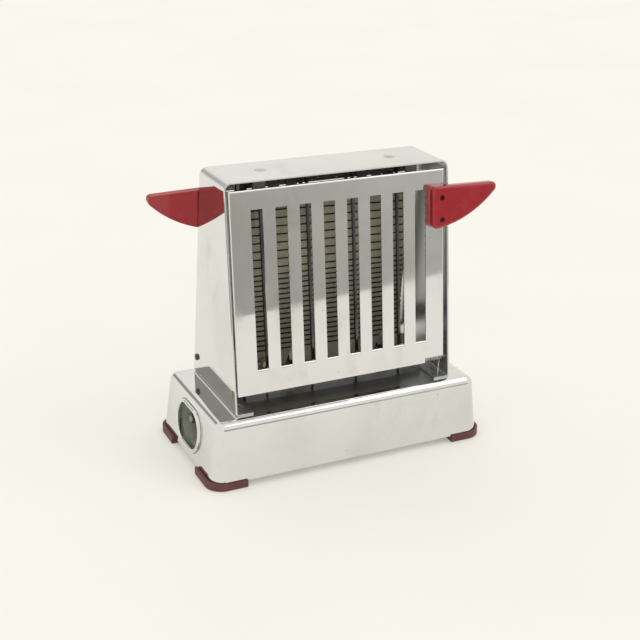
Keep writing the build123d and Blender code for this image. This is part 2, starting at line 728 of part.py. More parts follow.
bracket_top = housing_top - housing_sheet
door_stop = door_plane.from_local_coords(Vector(0, door_top, -door_flange)).Y + stop_gap
with BuildPart() as top_bracket:
    with Locations((0, 0, bracket_top)):
        add(card_bracket(top_bracket_length, top_bracket_width))
    with BuildSketch(Plane.XY.offset(bracket_top)):
        with GridLocations(top_rivet_spread, 0, 2, 1):
            Circle(rivet_shank_radius + fit_clearance)
    extrude(amount=-bracket_sheet, mode=Mode.SUBTRACT)
    with BuildSketch(Plane.XY.offset(bracket_top)):
        with GridLocations(2 * stop_ear_centre, 0, 2, 1):
            Rectangle(stop_ear_width, -2 * door_stop)
    extrude(amount=-bracket_sheet)
    with BuildSketch(Plane.XY.offset(bracket_top)):
        with GridLocations(2 * stop_ear_centre, -2 * door_stop - bracket_sheet, 2, 2):
            Rectangle(stop_ear_width, bracket_sheet)
    extrude(amount=-stop_ear_drop)
with BuildPart() as bottom_bracket:
    with Locations(Location((0, 0, base_top), (180, 0, 0))):
        add(card_bracket(bottom_bracket_length, bottom_bracket_width))
    with BuildSketch(Plane.XY.offset(base_top)):
        with GridLocations(bottom_rivet_spread, bottom_rivet_gap, 2, 2):
            Circle(rivet_shank_radius + fit_clearance)
    extrude(amount=bracket_sheet, mode=Mode.SUBTRACT)
with BuildPart() as bottom_rivets:
    with Locations((0, 0, base_top + bracket_sheet)):
        with GridLocations(bottom_rivet_spread, bottom_rivet_gap, 2, 2):
            add(domed_rivet(rivet_head_radius, rivet_head_height, rivet_shank_radius,
                            bracket_sheet + base_sheet, rivet_tail_height))

# ---- guards: angle bars welded to a rail, between the slice and the card ----
guard_lean = atan2((housing_depth_low - housing_depth_high) / 2, housing_height)
with BuildPart() as guard_front:
    with BuildSketch(guard_plane.offset(-guard_bar_sheet)):
        with GridLocations(guard_bar_pitch, 0, guard_bar_count, 1):
            Rectangle(guard_bar_width, 3 * housing_height)
    extrude(amount=guard_bar_sheet)
    with BuildSketch(guard_plane.offset(-guard_bar_sheet)):
        with Locations((guard_bar_sheet / 2 - guard_bar_width / 2, 0)):
            with GridLocations(guard_bar_pitch, 0, guard_bar_count, 1):
                Rectangle(guard_bar_sheet, 3 * housing_height)
    extrude(amount=guard_bar_sheet + guard_bar_flange)
    split(bisect_by=Plane.XY.offset(bracket_top - bracket_sheet), keep=Keep.BOTTOM)
    split(bisect_by=Plane.XY.offset(base_top), keep=Keep.TOP)
    with BuildSketch(Plane.YZ):
        rail_lean = guard_rail_height * tan(guard_lean)
        with BuildLine():
            Polyline((guard_foot_y, base_top), (guard_foot_y + rail_lean, base_top + guard_rail_height),
                     (guard_foot_y + rail_lean + bracket_sheet, base_top + guard_rail_height),
                     (guard_foot_y + bracket_sheet, base_top + bracket_sheet),
                     (guard_foot_y + bracket_sheet + guard_rail_foot, base_top + bracket_sheet),
                     (guard_foot_y + bracket_sheet + guard_rail_foot, base_top), close=True)
        make_face()
    extrude(amount=guard_rail_half_length, both=True)
    with BuildSketch(Plane.XY.offset(base_top)):
        with Locations((0, guard_rivet_y)):
            with GridLocations(guard_rivet_spread, 0, 2, 1):
                Circle(rivet_shank_radius + fit_clearance)
    extrude(amount=bracket_sheet, mode=Mode.SUBTRACT)
with BuildPart() as guard_rivets:
    with Locations((0, 0, base_top + bracket_sheet)):
        with GridLocations(guard_rivet_spread, 2 * guard_rivet_y, 2, 2):
            add(domed_rivet(rivet_head_radius, rivet_head_height, rivet_shank_radius,
                            bracket_sheet + base_sheet, rivet_tail_height))
top_bracket.part.label = "top_bracket"
export_step(top_bracket.part, "parts/top_bracket.step")
bottom_bracket.part.label = "bottom_bracket"
export_step(bottom_bracket.part, "parts/bottom_bracket.step")
bottom_rivets.part.label = "bottom_rivets"
export_step(bottom_rivets.part, "parts/bottom_rivets.step")
guard_rivets.part.label = "guard_rivets"
export_step(guard_rivets.part, "parts/guard_rivets.step")

# ---- inlet: rolled collar through the wall, insulating cup behind it, two round pins ----
with BuildPart() as inlet_collar:
    with BuildSketch(inlet_plane):
        SlotOverall(inlet_mouth_length + 2 * collar_lip_width, inlet_mouth_height + 2 * collar_lip_width)
    extrude(amount=collar_lip_rise)
    fillet(faces().sort_by(outward_axis)[-1].edges(), radius=collar_lip_radius)
    with BuildSketch(inlet_plane):
        SlotOverall(inlet_mouth_length + 2 * collar_wall, inlet_mouth_height + 2 * collar_wall)
    extrude(amount=-collar_depth)
    with BuildSketch(inlet_plane.offset(-collar_depth)):
        SlotOverall(inlet_mouth_length, inlet_mouth_height)
    extrude(amount=2 * collar_depth, mode=Mode.SUBTRACT)
inlet_collar.part.label = "inlet_collar"
export_step(inlet_collar.part, "parts/inlet_collar.step")

cup_length, cup_height = inlet_mouth_length + 2 * cup_wall, inlet_mouth_height + 2 * cup_wall
with BuildPart() as inlet_cup:
    with BuildSketch(inlet_plane.offset(-collar_depth)):
        SlotOverall(cup_length, cup_height)
    extrude(amount=collar_depth - cup_depth - cup_floor)
    fillet(faces().sort_by(outward_axis)[0].edges(), radius=cup_back_radius)
    with BuildSketch(inlet_plane.offset(-collar_depth)):
        SlotOverall(inlet_mouth_length, inlet_mouth_height)
    extrude(amount=collar_depth - cup_depth, mode=Mode.SUBTRACT)
    with BuildSketch(inlet_plane.offset(-cup_depth)):
        with GridLocations(pin_spacing, 0, 2, 1):
            Circle(pin_shoulder_radius + fit_clearance)
    extrude(amount=-cup_floor, mode=Mode.SUBTRACT)
inlet_cup.part.label = "inlet_cup"
export_step(inlet_cup.part, "parts/inlet_cup.step")

with BuildPart() as inlet_pins:
    with BuildSketch(inlet_plane.offset(-cup_depth)):
        with GridLocations(pin_spacing, 0, 2, 1):
            Circle(pin_radius)
    extrude(amount=pin_reach)
    fillet(faces().filter_by(Plane(inlet_plane.location)).group_by(outward_axis)[-1].edges(),
           radius=pin_tip_radius)
    with BuildSketch(inlet_plane.offset(-cup_depth)):
        with GridLocations(pin_spacing, 0, 2, 1):
            Circle(pin_shoulder_radius)
    extrude(amount=-cup_floor - pin_tail)
inlet_pins.part.label = "inlet_pins"
export_step(inlet_pins.part, "parts/inlet_pins.step")

with BuildPart() as pin_nuts:
    with BuildSketch(inlet_plane.offset(-cup_depth - cup_floor - lead_eye_thickness)):
        with GridLocations(pin_spacing, 0, 2, 1):
            RegularPolygon(pin_nut_flats / 2, 6, major_radius=False)
            Circle(pin_shoulder_radius + fit_clearance, mode=Mode.SUBTRACT)
    extrude(amount=-pin_nut_height)
pin_nuts.part.label = "pin_nuts"
export_step(pin_nuts.part, "parts/pin_nuts.step")

# Clips: welded inside the end wall, along both rounded ends of the cup and over its back.
cup_back = cup_depth + cup_floor
with BuildPart() as inlet_clips:
    for end in (-1, 1):
        clip_side = Plane(origin=inlet_plane.origin, x_dir=end * inlet_plane.x_dir,
                          z_dir=-end * inlet_plane.y_dir)
        with BuildSketch(clip_side):
            with BuildLine():
                strip = FilletPolyline(
                    (cup_length / 2 + clip_foot, -base_sheet), (cup_length / 2, -base_sheet),
                    (cup_length / 2, -cup_back), (cup_length / 2 - clip_hook, -cup_back),
                    radius=clip_bend_radius)
                offset(strip, amount=clip_sheet, side=Side.LEFT)
            make_face()
        extrude(amount=clip_width / 2, both=True)
inlet_clips.part.label = "inlet_clips"
export_step(inlet_clips.part, "parts/inlet_clips.step")

# ---- leads: insulated wires from the pins through two bushes to the card's terminals ----
with BuildPart() as lead_bushes:
    with BuildSketch(Plane.XY.offset(base_top)):
        with Locations((lead_x, -lead_spread / 2), (lead_x, lead_spread / 2)):
            Circle(bush_flange_radius)
    extrude(amount=bush_flange_height)
    with BuildSketch(Plane.XY.offset(base_top)):
        with Locations((lead_x, -lead_spread / 2), (lead_x, lead_spread / 2)):
            Circle(bush_radius)
    extrude(amount=-bush_drop)
    with BuildSketch(Plane.XY.offset(base_top - bush_drop)):
        with Locations((lead_x, -lead_spread / 2), (lead_x, lead_spread / 2)):
            Circle(bush_bore_radius)
    extrude(amount=2 * bush_drop, mode=Mode.SUBTRACT)
lead_bushes.part.label = "lead_bushes"
export_step(lead_bushes.part, "parts/lead_bushes.step")

eye_plane = inlet_plane.offset(-cup_back - lead_eye_thickness)
low_pin = inlet_plane.from_local_coords(Vector(pin_spacing / 2, lead_eye_inner, -cup_back - half_eye))
high_pin = inlet_plane.from_local_coords(Vector(-pin_spacing / 2, lead_eye_inner, -cup_back - half_eye))
lead_bend_radius = lead_bend_share * (lead_x - low_pin.X)
low_eye_y = -card_thickness / 2 - ribbon_thickness - half_eye
high_eye_y = card_thickness / 2 + half_eye
with BuildPart() as lead_low:
    with BuildLine() as low_route:
        low_start = FilletPolyline(
            low_pin, low_pin + inlet_plane.y_dir * lead_climb,
            (lead_x, -lead_spread / 2, low_pin.Z + lead_climb),
            (lead_x, -lead_spread / 2, base_top + low_terminal_rise),
            (low_terminal_x - lead_eye_inner, low_eye_y, base_top + low_terminal_rise),
            radius=lead_bend_radius,
        )
    with BuildSketch(Plane(origin=low_start @ 0, z_dir=low_start % 0)):
        Circle(lead_radius)
    sweep(path=low_route.wires()[0])
    with BuildSketch(eye_plane):
        with Locations((pin_spacing / 2, 0)):
            Circle(lead_eye_radius)
    extrude(amount=lead_eye_thickness)
    with BuildSketch(eye_plane):
        with Locations((pin_spacing / 2, 0)):
            Circle(pin_shoulder_radius + fit_clearance)
    extrude(amount=lead_eye_thickness, mode=Mode.SUBTRACT)
    with BuildSketch(Plane.XZ.offset(-low_eye_y - half_eye)):
        with Locations((low_terminal_x, base_top + low_terminal_rise)):
            Circle(lead_eye_radius)
    extrude(amount=lead_eye_thickness)
    with BuildSketch(Plane.XZ.offset(-low_eye_y - half_eye)):
        with Locations((low_terminal_x, base_top + low_terminal_rise)):
            Circle(terminal_screw_radius + fit_clearance)
    extrude(amount=lead_eye_thickness, mode=Mode.SUBTRACT)
lead_low.part.label = "lead_low"
export_step(lead_low.part, "parts/lead_low.step")

with BuildPart() as lead_high:
    with BuildLine() as high_route:
        high_start = FilletPolyline(
            high_pin, high_pin + inlet_plane.y_dir * lead_climb,
            (lead_x, lead_spread / 2, high_pin.Z + lead_climb),
            (lead_x, lead_spread / 2, base_top + high_terminal_rise - lead_turn_length),
            (high_terminal_x, high_eye_y, base_top + high_terminal_rise - lead_turn_end),
            (high_terminal_x, high_eye_y, base_top + high_terminal_rise - lead_eye_inner),
            radius=lead_bend_radius,
        )
    with BuildSketch(Plane(origin=high_start @ 0, z_dir=high_start % 0)):
        Circle(lead_radius)
    sweep(path=high_route.wires()[0])
    with BuildSketch(eye_plane):
        with Locations((-pin_spacing / 2, 0)):
            Circle(lead_eye_radius)
    extrude(amount=lead_eye_thickness)
    with BuildSketch(eye_plane):
        with Locations((-pin_spacing / 2, 0)):
            Circle(pin_shoulder_radius + fit_clearance)
    extrude(amount=lead_eye_thickness, mode=Mode.SUBTRACT)
    with BuildSketch(Plane.XZ.offset(-high_eye_y - half_eye)):
        with Locations((high_terminal_x, base_top + high_terminal_rise)):
            Circle(lead_eye_radius)
    extrude(amount=lead_eye_thickness)
    with BuildSketch(Plane.XZ.offset(-high_eye_y - half_eye)):
        with Locations((high_terminal_x, base_top + high_terminal_rise)):
            Circle(terminal_screw_radius + fit_clearance)
    extrude(amount=lead_eye_thickness, mode=Mode.SUBTRACT)
lead_high.part.label = "lead_high"
export_step(lead_high.part, "parts/lead_high.step")

# Terminal screws enter from the front; the nuts sit behind the card or behind the eye there.
terminal_length = lead_eye_thickness + ribbon_thickness + card_thickness + nut_height + terminal_tail
low_terminal = Vector(low_terminal_x, low_eye_y - half_eye, base_top + low_terminal_rise)
high_terminal = Vector(high_terminal_x, -card_thickness / 2 - ribbon_thickness, base_top + high_terminal_rise)
with BuildPart() as terminal_screws:
    with Locations(Plane(origin=low_terminal, z_dir=(0, 1, 0)), Plane(origin=high_terminal, z_dir=(0, 1, 0))):
        add(cheese_screw(terminal_head_radius, terminal_head_height, terminal_screw_radius, terminal_length))
terminal_screws.part.label = "terminal_screws"
export_step(terminal_screws.part, "parts/terminal_screws.step")

with BuildPart() as terminal_nuts:
    with BuildSketch(Plane.XZ.offset(-card_thickness / 2)):
        with Locations((low_terminal_x, base_top + low_terminal_rise)):
            RegularPolygon(nut_flats / 2, 6, major_radius=False)
            Circle(terminal_screw_radius + fit_clearance, mode=Mode.SUBTRACT)
    extrude(amount=-nut_height)
    with BuildSketch(Plane.XZ.offset(-high_eye_y - half_eye)):
        with Locations((high_terminal_x, base_top + high_terminal_rise)):
            RegularPolygon(nut_flats / 2, 6, major_radius=False)
            Circle(terminal_screw_radius + fit_clearance, mode=Mode.SUBTRACT)
    extrude(amount=-nut_height)
terminal_nuts.part.label = "terminal_nuts"
export_step(terminal_nuts.part, "parts/terminal_nuts.step")

# ---- front pieces and their rear twins, turned half a turn about the upright axis ----
twins = {
    "hinge_rod": hinge_rod_front.part,
    "door": door_front.part,
    "turning_fingers": turning_fingers_front.part,
    "handle": handle_front.part,
    "handle_screws": handle_screws_front.part,
    "handle_nuts": handle_nuts_front.part,
    "closing_spring": closing_spring_front.part,
    "guard": guard_front.part,
}
for twin_name, front_form in twins.items():
    with BuildPart() as front_twin:
        add(front_form)
    front_twin.part.label = f"{twin_name}_front"
    export_step(front_twin.part, f"parts/{twin_name}_front.step")
    with BuildPart() as rear_twin:
        add(front_form, rotation=(0, 0, 180))
    rear_twin.part.label = f"{twin_name}_rear"
    export_step(rear_twin.part, f"parts/{twin_name}_rear.step")
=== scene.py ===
"""Finishes and fine pieces for a drop side toaster, laid out as an add-on and run as a script."""
import math

import bpy
import numpy as np
from bpy.props import FloatProperty, FloatVectorProperty, IntProperty, PointerProperty
from bpy.types import Operator, Panel, PropertyGroup
from mathutils import Matrix, Vector


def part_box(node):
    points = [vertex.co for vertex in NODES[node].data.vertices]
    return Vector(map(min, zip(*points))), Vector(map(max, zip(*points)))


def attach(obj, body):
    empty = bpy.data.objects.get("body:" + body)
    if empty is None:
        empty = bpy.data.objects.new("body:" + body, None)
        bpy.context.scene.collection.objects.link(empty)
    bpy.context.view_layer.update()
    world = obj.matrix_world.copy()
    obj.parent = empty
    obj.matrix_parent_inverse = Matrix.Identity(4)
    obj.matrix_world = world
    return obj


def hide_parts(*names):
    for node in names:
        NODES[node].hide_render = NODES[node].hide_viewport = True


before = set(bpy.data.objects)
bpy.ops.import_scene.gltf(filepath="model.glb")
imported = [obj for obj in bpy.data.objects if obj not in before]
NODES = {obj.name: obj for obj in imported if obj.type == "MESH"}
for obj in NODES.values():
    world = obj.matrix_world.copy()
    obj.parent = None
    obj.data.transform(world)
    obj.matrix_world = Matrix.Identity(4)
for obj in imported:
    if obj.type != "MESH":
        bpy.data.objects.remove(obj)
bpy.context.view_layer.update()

bl_info = {
    "name": "Drop Side Toaster",
    "version": (1, 0, 0),
    "blender": (4, 5, 0),
    "location": "View3D > Sidebar > Toaster",
    "description": "Plates, moulds, winds and lights a drop side toaster",
    "category": "Object",
}

MILLIMETRE = 0.001
HALF_SHEET = 0.55 * MILLIMETRE
# Stage: places in metres, corners in the order in which they are joined.
LAMP_WHITE = (1.0, 0.985, 0.955)
LAMP_TOWARD = (0.49, -0.37, 0.79)
FLOOR_REACH, FLOOR_DEPTH, FLOOR_LIFT = 6.0, -0.1 * MILLIMETRE, 0.29
FRONT_CARD = ((-0.05, -0.504, 0.0), (0.60, -0.683, 0.0), (0.60, -0.683, 0.14),
              (-0.05, -0.504, 0.14))
BACK_LEFT_CARD = ((-0.54, 0.87, 0.30), (-0.25, 0.94, 0.30), (-0.25, 0.94, 0.74),
                  (-0.54, 0.87, 0.74))
OVERHEAD_STRIP = ((0.650, -0.22, 1.454), (0.945, -0.22, 1.276), (0.945, 0.26, 1.276),
                  (0.650, 0.26, 1.454))
CAMERA_PLACE = (-0.3170, -0.6462, 0.3742)
CAMERA_TARGET = (-0.0334, -0.0645, 0.1097)
CAMERA_ROLL = 0.0211


# ---------------------------------------------------------------- settings
class PlatingSettings(PropertyGroup):
    """Polished plate on the base, the housing and the doors."""

    clean: FloatVectorProperty(
        name="Clean plate", description="Colour of wiped plate", subtype="COLOR",
        default=(0.765, 0.765, 0.76), min=0.0, max=1.0)
    hazed: FloatVectorProperty(
        name="Hazed plate", description="Colour where years of wiping dulled the plate",
        subtype="COLOR", default=(0.66, 0.66, 0.645), min=0.0, max=1.0)
    polish: FloatProperty(
        name="Polish", description="Roughness of the brightest plate", subtype="FACTOR",
        default=0.03, min=0.0, max=1.0)
    dulled: FloatProperty(
        name="Dulled", description="Roughness of the most rubbed plate", subtype="FACTOR",
        default=0.12, min=0.0, max=1.0)
    ripple: FloatProperty(
        name="Ripple", description="Height of the slow waves left by pressing the sheet",
        subtype="DISTANCE", unit="LENGTH", default=0.0001, min=0.0, max=0.001, precision=6)
    # Darker than the clean plate: partly unpolished plate, partly painted shade inside the housing
    # and on the base's top under it.
    inside: FloatVectorProperty(
        name="Inside", description="Colour of the inner faces, plated but never polished",
        subtype="COLOR", default=(0.64, 0.65, 0.66), min=0.0, max=1.0)
    inside_dulled: FloatProperty(
        name="Inside dulled", description="Roughness of the inner faces", subtype="FACTOR",
        default=0.33, min=0.0, max=1.0)


class MouldingSettings(PropertyGroup):
    """Handles and feet pressed from moulding powder."""

    handle: FloatVectorProperty(
        name="Handle", description="Colour of the handles", subtype="COLOR",
        default=(0.38, 0.004, 0.013), min=0.0, max=1.0)
    handle_gloss: FloatProperty(
        name="Handle gloss", description="Roughness of the handles", subtype="FACTOR",
        default=0.06, min=0.0, max=1.0)
    foot: FloatVectorProperty(
        name="Foot", description="Colour of the feet", subtype="COLOR",
        default=(0.125, 0.030, 0.026), min=0.0, max=1.0)
    foot_gloss: FloatProperty(
        name="Foot gloss", description="Roughness of the feet", subtype="FACTOR",
        default=0.5, min=0.0, max=1.0)


class SpringSettings(PropertyGroup):
    """Closing springs, each wound on its hinge rod."""

    wire_radius: FloatProperty(
        name="Wire radius", description="Half the thickness of the spring wire",
        subtype="DISTANCE", unit="LENGTH", default=0.00034, min=0.0001, max=0.001, precision=5)
    coil_radius: FloatProperty(
        name="Coil radius", description="From the rod's middle to the wire's middle",
        subtype="DISTANCE", unit="LENGTH", default=0.0017, min=0.001, max=0.004, precision=5)
    pitch: FloatProperty(
        name="Pitch", description="Step of the coil along the rod in one turn",
        subtype="DISTANCE", unit="LENGTH", default=0.0012, min=0.0007, max=0.004, precision=5)
    turns: IntProperty(
        name="Turns", description="Full turns round the rod", default=10, min=2, max=20)
    outer_end: FloatProperty(
        name="Outer end", description="Place of the outermost turn along the rod",
        subtype="DISTANCE", unit="LENGTH", default=0.0707, min=0.03, max=0.08, precision=5)
    foot_inset: FloatProperty(
        name="Foot inset", description="Step from the outermost turn in to the foot of the first leg",
        subtype="DISTANCE", unit="LENGTH", default=0.0018, min=0.0, max=0.003, precision=5)
    sides: IntProperty(
        name="Wire sides", description="Faces round the wire", default=14, min=6, max=32)


class InletSettings(PropertyGroup):
    """Rolled collar and pins of the inlet."""

    middle: FloatVectorProperty(
        name="Middle", description="Middle of the mouth, level with the base's end",
        subtype="TRANSLATION", unit="LENGTH", default=(-0.09226, 0.0, 0.0229), precision=5)
    slant: FloatProperty(
        name="Slant", description="Lean of the base's end away from upright", subtype="ANGLE",
        unit="ROTATION", default=math.radians(6.9), min=0.0, max=0.6)
    mouth_length: FloatProperty(
        name="Mouth length", description="Inside length of the oval mouth", subtype="DISTANCE",
        unit="LENGTH", default=0.0370, min=0.02, max=0.06, precision=4)
    mouth_height: FloatProperty(
        name="Mouth height", description="Inside height of the oval mouth", subtype="DISTANCE",
        unit="LENGTH", default=0.0234, min=0.01, max=0.04, precision=4)
    bead_width: FloatProperty(
        name="Bead width", description="Width of the rolled bead", subtype="DISTANCE",
        unit="LENGTH", default=0.0026, min=0.001, max=0.006, precision=4)
    bead_rise: FloatProperty(
        name="Bead rise", description="Height of the bead over the base's end",
        subtype="DISTANCE", unit="LENGTH", default=0.0020, min=0.0005, max=0.005, precision=4)
    sleeve_wall: FloatProperty(
        name="Sleeve wall", description="Thickness of the collar's sleeve", subtype="DISTANCE",
        unit="LENGTH", default=0.0010, min=0.0004, max=0.002, precision=4)
    sleeve_depth: FloatProperty(
        name="Sleeve depth", description="Depth of the sleeve inside the base",
        subtype="DISTANCE", unit="LENGTH", default=0.0025, min=0.001, max=0.02, precision=4)
    pin_spacing: FloatProperty(
        name="Pin spacing", description="Between the middles of the pins", subtype="DISTANCE",
        unit="LENGTH", default=0.0190, min=0.008, max=0.03, precision=4)
    pin_radius: FloatProperty(
        name="Pin radius", description="Half the thickness of a pin", subtype="DISTANCE",
        unit="LENGTH", default=0.0030, min=0.001, max=0.005, precision=4)
    pin_tip: FloatProperty(
        name="Pin tip", description="Place of the pins' tips, counted outwards from the mouth",
        subtype="DISTANCE", unit="LENGTH", default=-0.0035, min=-0.02, max=0.0, precision=4)


class ElementSettings(PropertyGroup):
    """Mica card and the ribbon wound on it."""

    mica: FloatVectorProperty(
        name="Mica", description="Colour of the pressed mica", subtype="COLOR",
        default=(0.50, 0.465, 0.355), min=0.0, max=1.0)
    flake: FloatVectorProperty(
        name="Flake", description="Colour of the brighter flakes", subtype="COLOR",
        default=(0.64, 0.605, 0.49), min=0.0, max=1.0)
    # Used both for scorched patches and for painted shade low on the card.
    scorch_and_shade: FloatVectorProperty(
        name="Scorch", description="Colour where the ribbon has toasted the card",
        subtype="COLOR", default=(0.20, 0.17, 0.115), min=0.0, max=1.0)
    ribbon: FloatVectorProperty(
        name="Ribbon", description="Colour of the oxidised ribbon", subtype="COLOR",
        default=(0.022, 0.020, 0.019), min=0.0, max=1.0)


class StageSettings(PropertyGroup):
    """Floor, lamps, cards and camera."""

    paper: FloatVectorProperty(
        name="Paper", description="Colour of the floor", subtype="COLOR",
        default=(0.74, 0.73, 0.675), min=0.0, max=1.0)
    surround: FloatVectorProperty(
        name="Surround", description="Colour beyond the floor", subtype="COLOR",
        default=(0.94, 0.93, 0.87), min=0.0, max=1.0)
    sky_level: FloatProperty(
        name="Sky level", description="Light that comes from all round", default=0.90,
        min=0.0, max=2.0)
    lamp_level: FloatProperty(
        name="Lamp level", description="Strength of the high lamp", default=0.16,
        min=0.0, max=5.0)
    lamp_spread: FloatProperty(
        name="Lamp spread", description="Angle across the high lamp as the object sees it",
        subtype="ANGLE", unit="ROTATION", default=0.42, min=0.01, max=1.5)
    strip_level: FloatProperty(
        name="Strip level", description="Brightness of the long white strip that edges mirror",
        default=2.2, min=0.0, max=50.0)
    card: FloatVectorProperty(
        name="Card", description="Grey of the cards that the plate mirrors", subtype="COLOR",
        default=(0.36, 0.352, 0.322), min=0.0, max=1.0)
    lens: FloatProperty(
        name="Lens", description="Focal length in millimetres", default=67.96, min=20.0, max=200.0)


# ---------------------------------------------------------------- node helpers
def put(tree, kind, inputs=None, **traits):
    """Adds one shader node, sets its traits, then fills or links the named inputs."""
    node = tree.nodes.new("ShaderNode" + kind)
    for trait, value in traits.items():
        setattr(node, trait, value)
    for key, value in (inputs or {}).items():
        if isinstance(value, bpy.types.NodeSocket):
            tree.links.new(value, node.inputs[key])
        else:
            node.inputs[key].default_value = value
    return node


def effect_tree(name, colours, numbers):
    """Starts an effect's node group; returns the tree, its input sockets and its output node.

    It takes a Vector, the named colours, and the named numbers with their usual values.
    """
    tree = bpy.data.node_groups.new(name, "ShaderNodeTree")
    tree.interface.new_socket(name="Vector", in_out="INPUT", socket_type="NodeSocketVector")
    for label in colours:
        tree.interface.new_socket(name=label, in_out="INPUT", socket_type="NodeSocketColor")
    for label, value in numbers.items():
        socket = tree.interface.new_socket(name=label, in_out="INPUT",
                                           socket_type="NodeSocketFloat")
        socket.default_value = value
    for label, kind in (("Color", "NodeSocketColor"), ("Roughness", "NodeSocketFloat"),
                        ("Height", "NodeSocketFloat")):
        tree.interface.new_socket(name=label, in_out="OUTPUT", socket_type=kind)
    return tree, tree.nodes.new("NodeGroupInput").outputs, tree.nodes.new("NodeGroupOutput")


def give_out(tree, result, colour, rough, height):
    """Links an effect's results to its output node and returns the tree."""
    for label, socket in (("Color", colour), ("Roughness", rough), ("Height", height)):
        tree.links.new(socket, result.inputs[label])
    return tree


def rgba(colour):
    """Three numbers and a full alpha."""
    return (*colour, 1.0)


def ease(tree, value, low, high, out_low=0.0, out_high=1.0):
    """Smooth step of a value from low..high to out_low..out_high."""
    node = put(tree, "MapRange", {"From Min": low, "From Max": high, "To Min": out_low,
                                  "To Max": out_high, "Value": value},
               interpolation_type="SMOOTHSTEP")
    return node.outputs["Result"]


def compute(tree, operation, first, second=0.0):
    """One arithmetic node on two numbers or sockets."""
    return put(tree, "Math", {0: first, 1: second}, operation=operation).outputs[0]


def times(tree, first, second):
    """Product of two numbers or sockets."""
    return compute(tree, "MULTIPLY", first, second)


def blend_colour(tree, factor, first, second):
    """Mixes two colours by a factor."""
    return put(tree, "Mix", {0: factor, 6: first, 7: second}, data_type="RGBA").outputs[2]


def blend_number(tree, factor, first, second):
    """Mixes two numbers by a factor."""
    return put(tree, "Mix", {0: factor, 2: first, 3: second}, data_type="FLOAT").outputs[0]


def noise(tree, vector, scale, detail=2.0, roughness=0.5):
    """Grey noise at a scale counted per metre."""
    node = put(tree, "TexNoise",
               {"Vector": vector, "Scale": scale, "Detail": detail, "Roughness": roughness})
    return node.outputs[0]


def stretch(tree, vector, scale, turn=(0.0, 0.0, 0.0)):
    """Turns and scales a coordinate, which draws a pattern out along the scale's small axis."""
    return put(tree, "Mapping", {"Vector": vector, "Rotation": turn, "Scale": scale}).outputs[0]


def axes(tree, vector):
    """The X, Y and Z of a coordinate, by name."""
    return put(tree, "SeparateXYZ", {"Vector": vector}).outputs


def cells(tree, vector, scale):
    """Distance to the middle of the nearest cell, and three random numbers of that cell."""
    found = put(tree, "TexVoronoi", {"Vector": vector, "Scale": scale}).outputs
    return found["Distance"], put(tree, "SeparateColor", {"Color": found["Color"]}).outputs


def spots(tree, vector, scale, size, share):
    """Small round spots: near a cell's middle, and only in the cells that a noise picks."""
    away, numbers = cells(tree, vector, scale)
    near = ease(tree, away, size, size * 0.5)
    return times(tree, near, compute(tree, "LESS_THAN", numbers[0], share))


def level_between(tree, value, low, high):
    """Spreads a value from nought..one to low..high."""
    return put(tree, "MapRange", {"Value": value, "To Min": low, "To Max": high}).outputs["Result"]


def seen_rays(tree):
    """One on rays that view, mirror or pass through."""
    path = put(tree, "LightPath").outputs
    seen = compute(tree, "MAXIMUM", path["Is Camera Ray"], path["Is Glossy Ray"])
    return compute(tree, "MAXIMUM", seen, path["Is Transmission Ray"])


def new_material(name):
    """New material with its tree, its Principled surface and its object coordinates."""
    material = bpy.data.materials.new(name)
    material.use_nodes = True
    tree = material.node_tree
    place = put(tree, "TexCoord").outputs["Object"]
    return material, tree, tree.nodes["Principled BSDF"], place


def feed_surface(tree, surface, colour, rough, relief, height):
    """Gives a Principled surface its colour, its roughness and a bump of the given height."""
    bump = put(tree, "Bump", {"Strength": 1.0, "Distance": relief, "Height": height})
    for label, socket in (("Base Color", colour), ("Roughness", rough),
                          ("Normal", bump.outputs["Normal"])):
        tree.links.new(socket, surface.inputs[label])


def place_object(name, data):
    """Object with the given data, linked to the scene."""
    made = bpy.data.objects.new(name, data)
    bpy.context.scene.collection.objects.link(made)
    return made


# ---------------------------------------------------------------- shared effects
def sheet_marks():
    """Wiping haze, hairlines, specks and slow ripple on bright plate."""
    tree, given, result = effect_tree("sheet marks", ("Clean", "Hazed"), {
        "Haze Scale": 14.0, "Polish": 0.05, "Dulled": 0.15})
    place = given["Vector"]
    haze = ease(tree, noise(tree, place, given["Haze Scale"], 5.0, 0.6), 0.42, 0.72)
    wiped = ease(tree, noise(tree, stretch(tree, place, (1.0, 1.0, 0.12)), 130.0, 3.0), 0.45, 0.8)
    lines = ease(tree, noise(tree, stretch(tree, place, (1.0, 1.0, 0.03)), 900.0, 2.0), 0.70, 0.76)
    cross = stretch(tree, place, (1.0, 1.0, 0.02), (0.5, 0.9, 0.3))
    slanted = ease(tree, noise(tree, cross, 700.0, 1.0), 0.73, 0.78)
    scratches = compute(tree, "MAXIMUM", lines, slanted)
    specks = spots(tree, place, 210.0, 0.10, 0.035)
    film = times(tree, haze, 0.75)
    tinted = blend_colour(tree, film, given["Clean"], given["Hazed"])
    smudge = ease(tree, noise(tree, stretch(tree, place, (1.0, 1.0, 0.5)), 46.0, 4.0, 0.65),
                  0.54, 0.72, 0.0, 0.16)
    smudged = blend_colour(tree, smudge, tinted, (0.30, 0.29, 0.27, 1.0))
    flecked = blend_colour(tree, times(tree, specks, 0.7), smudged, (0.16, 0.14, 0.11, 1.0))
    rubbed = compute(tree, "ADD", times(tree, haze, 0.6), times(tree, wiped, 0.4))
    marked = compute(tree, "ADD", rubbed, times(tree, scratches, 0.5))
    spread = level_between(tree, marked, given["Polish"], given["Dulled"])
    ripple = noise(tree, place, 11.0, 0.5)
    lifted = compute(tree, "ADD", ripple, times(tree, scratches, -0.01))
    pitted = compute(tree, "ADD", lifted, times(tree, specks, -0.05))
    return give_out(tree, result, flecked, spread, pitted)


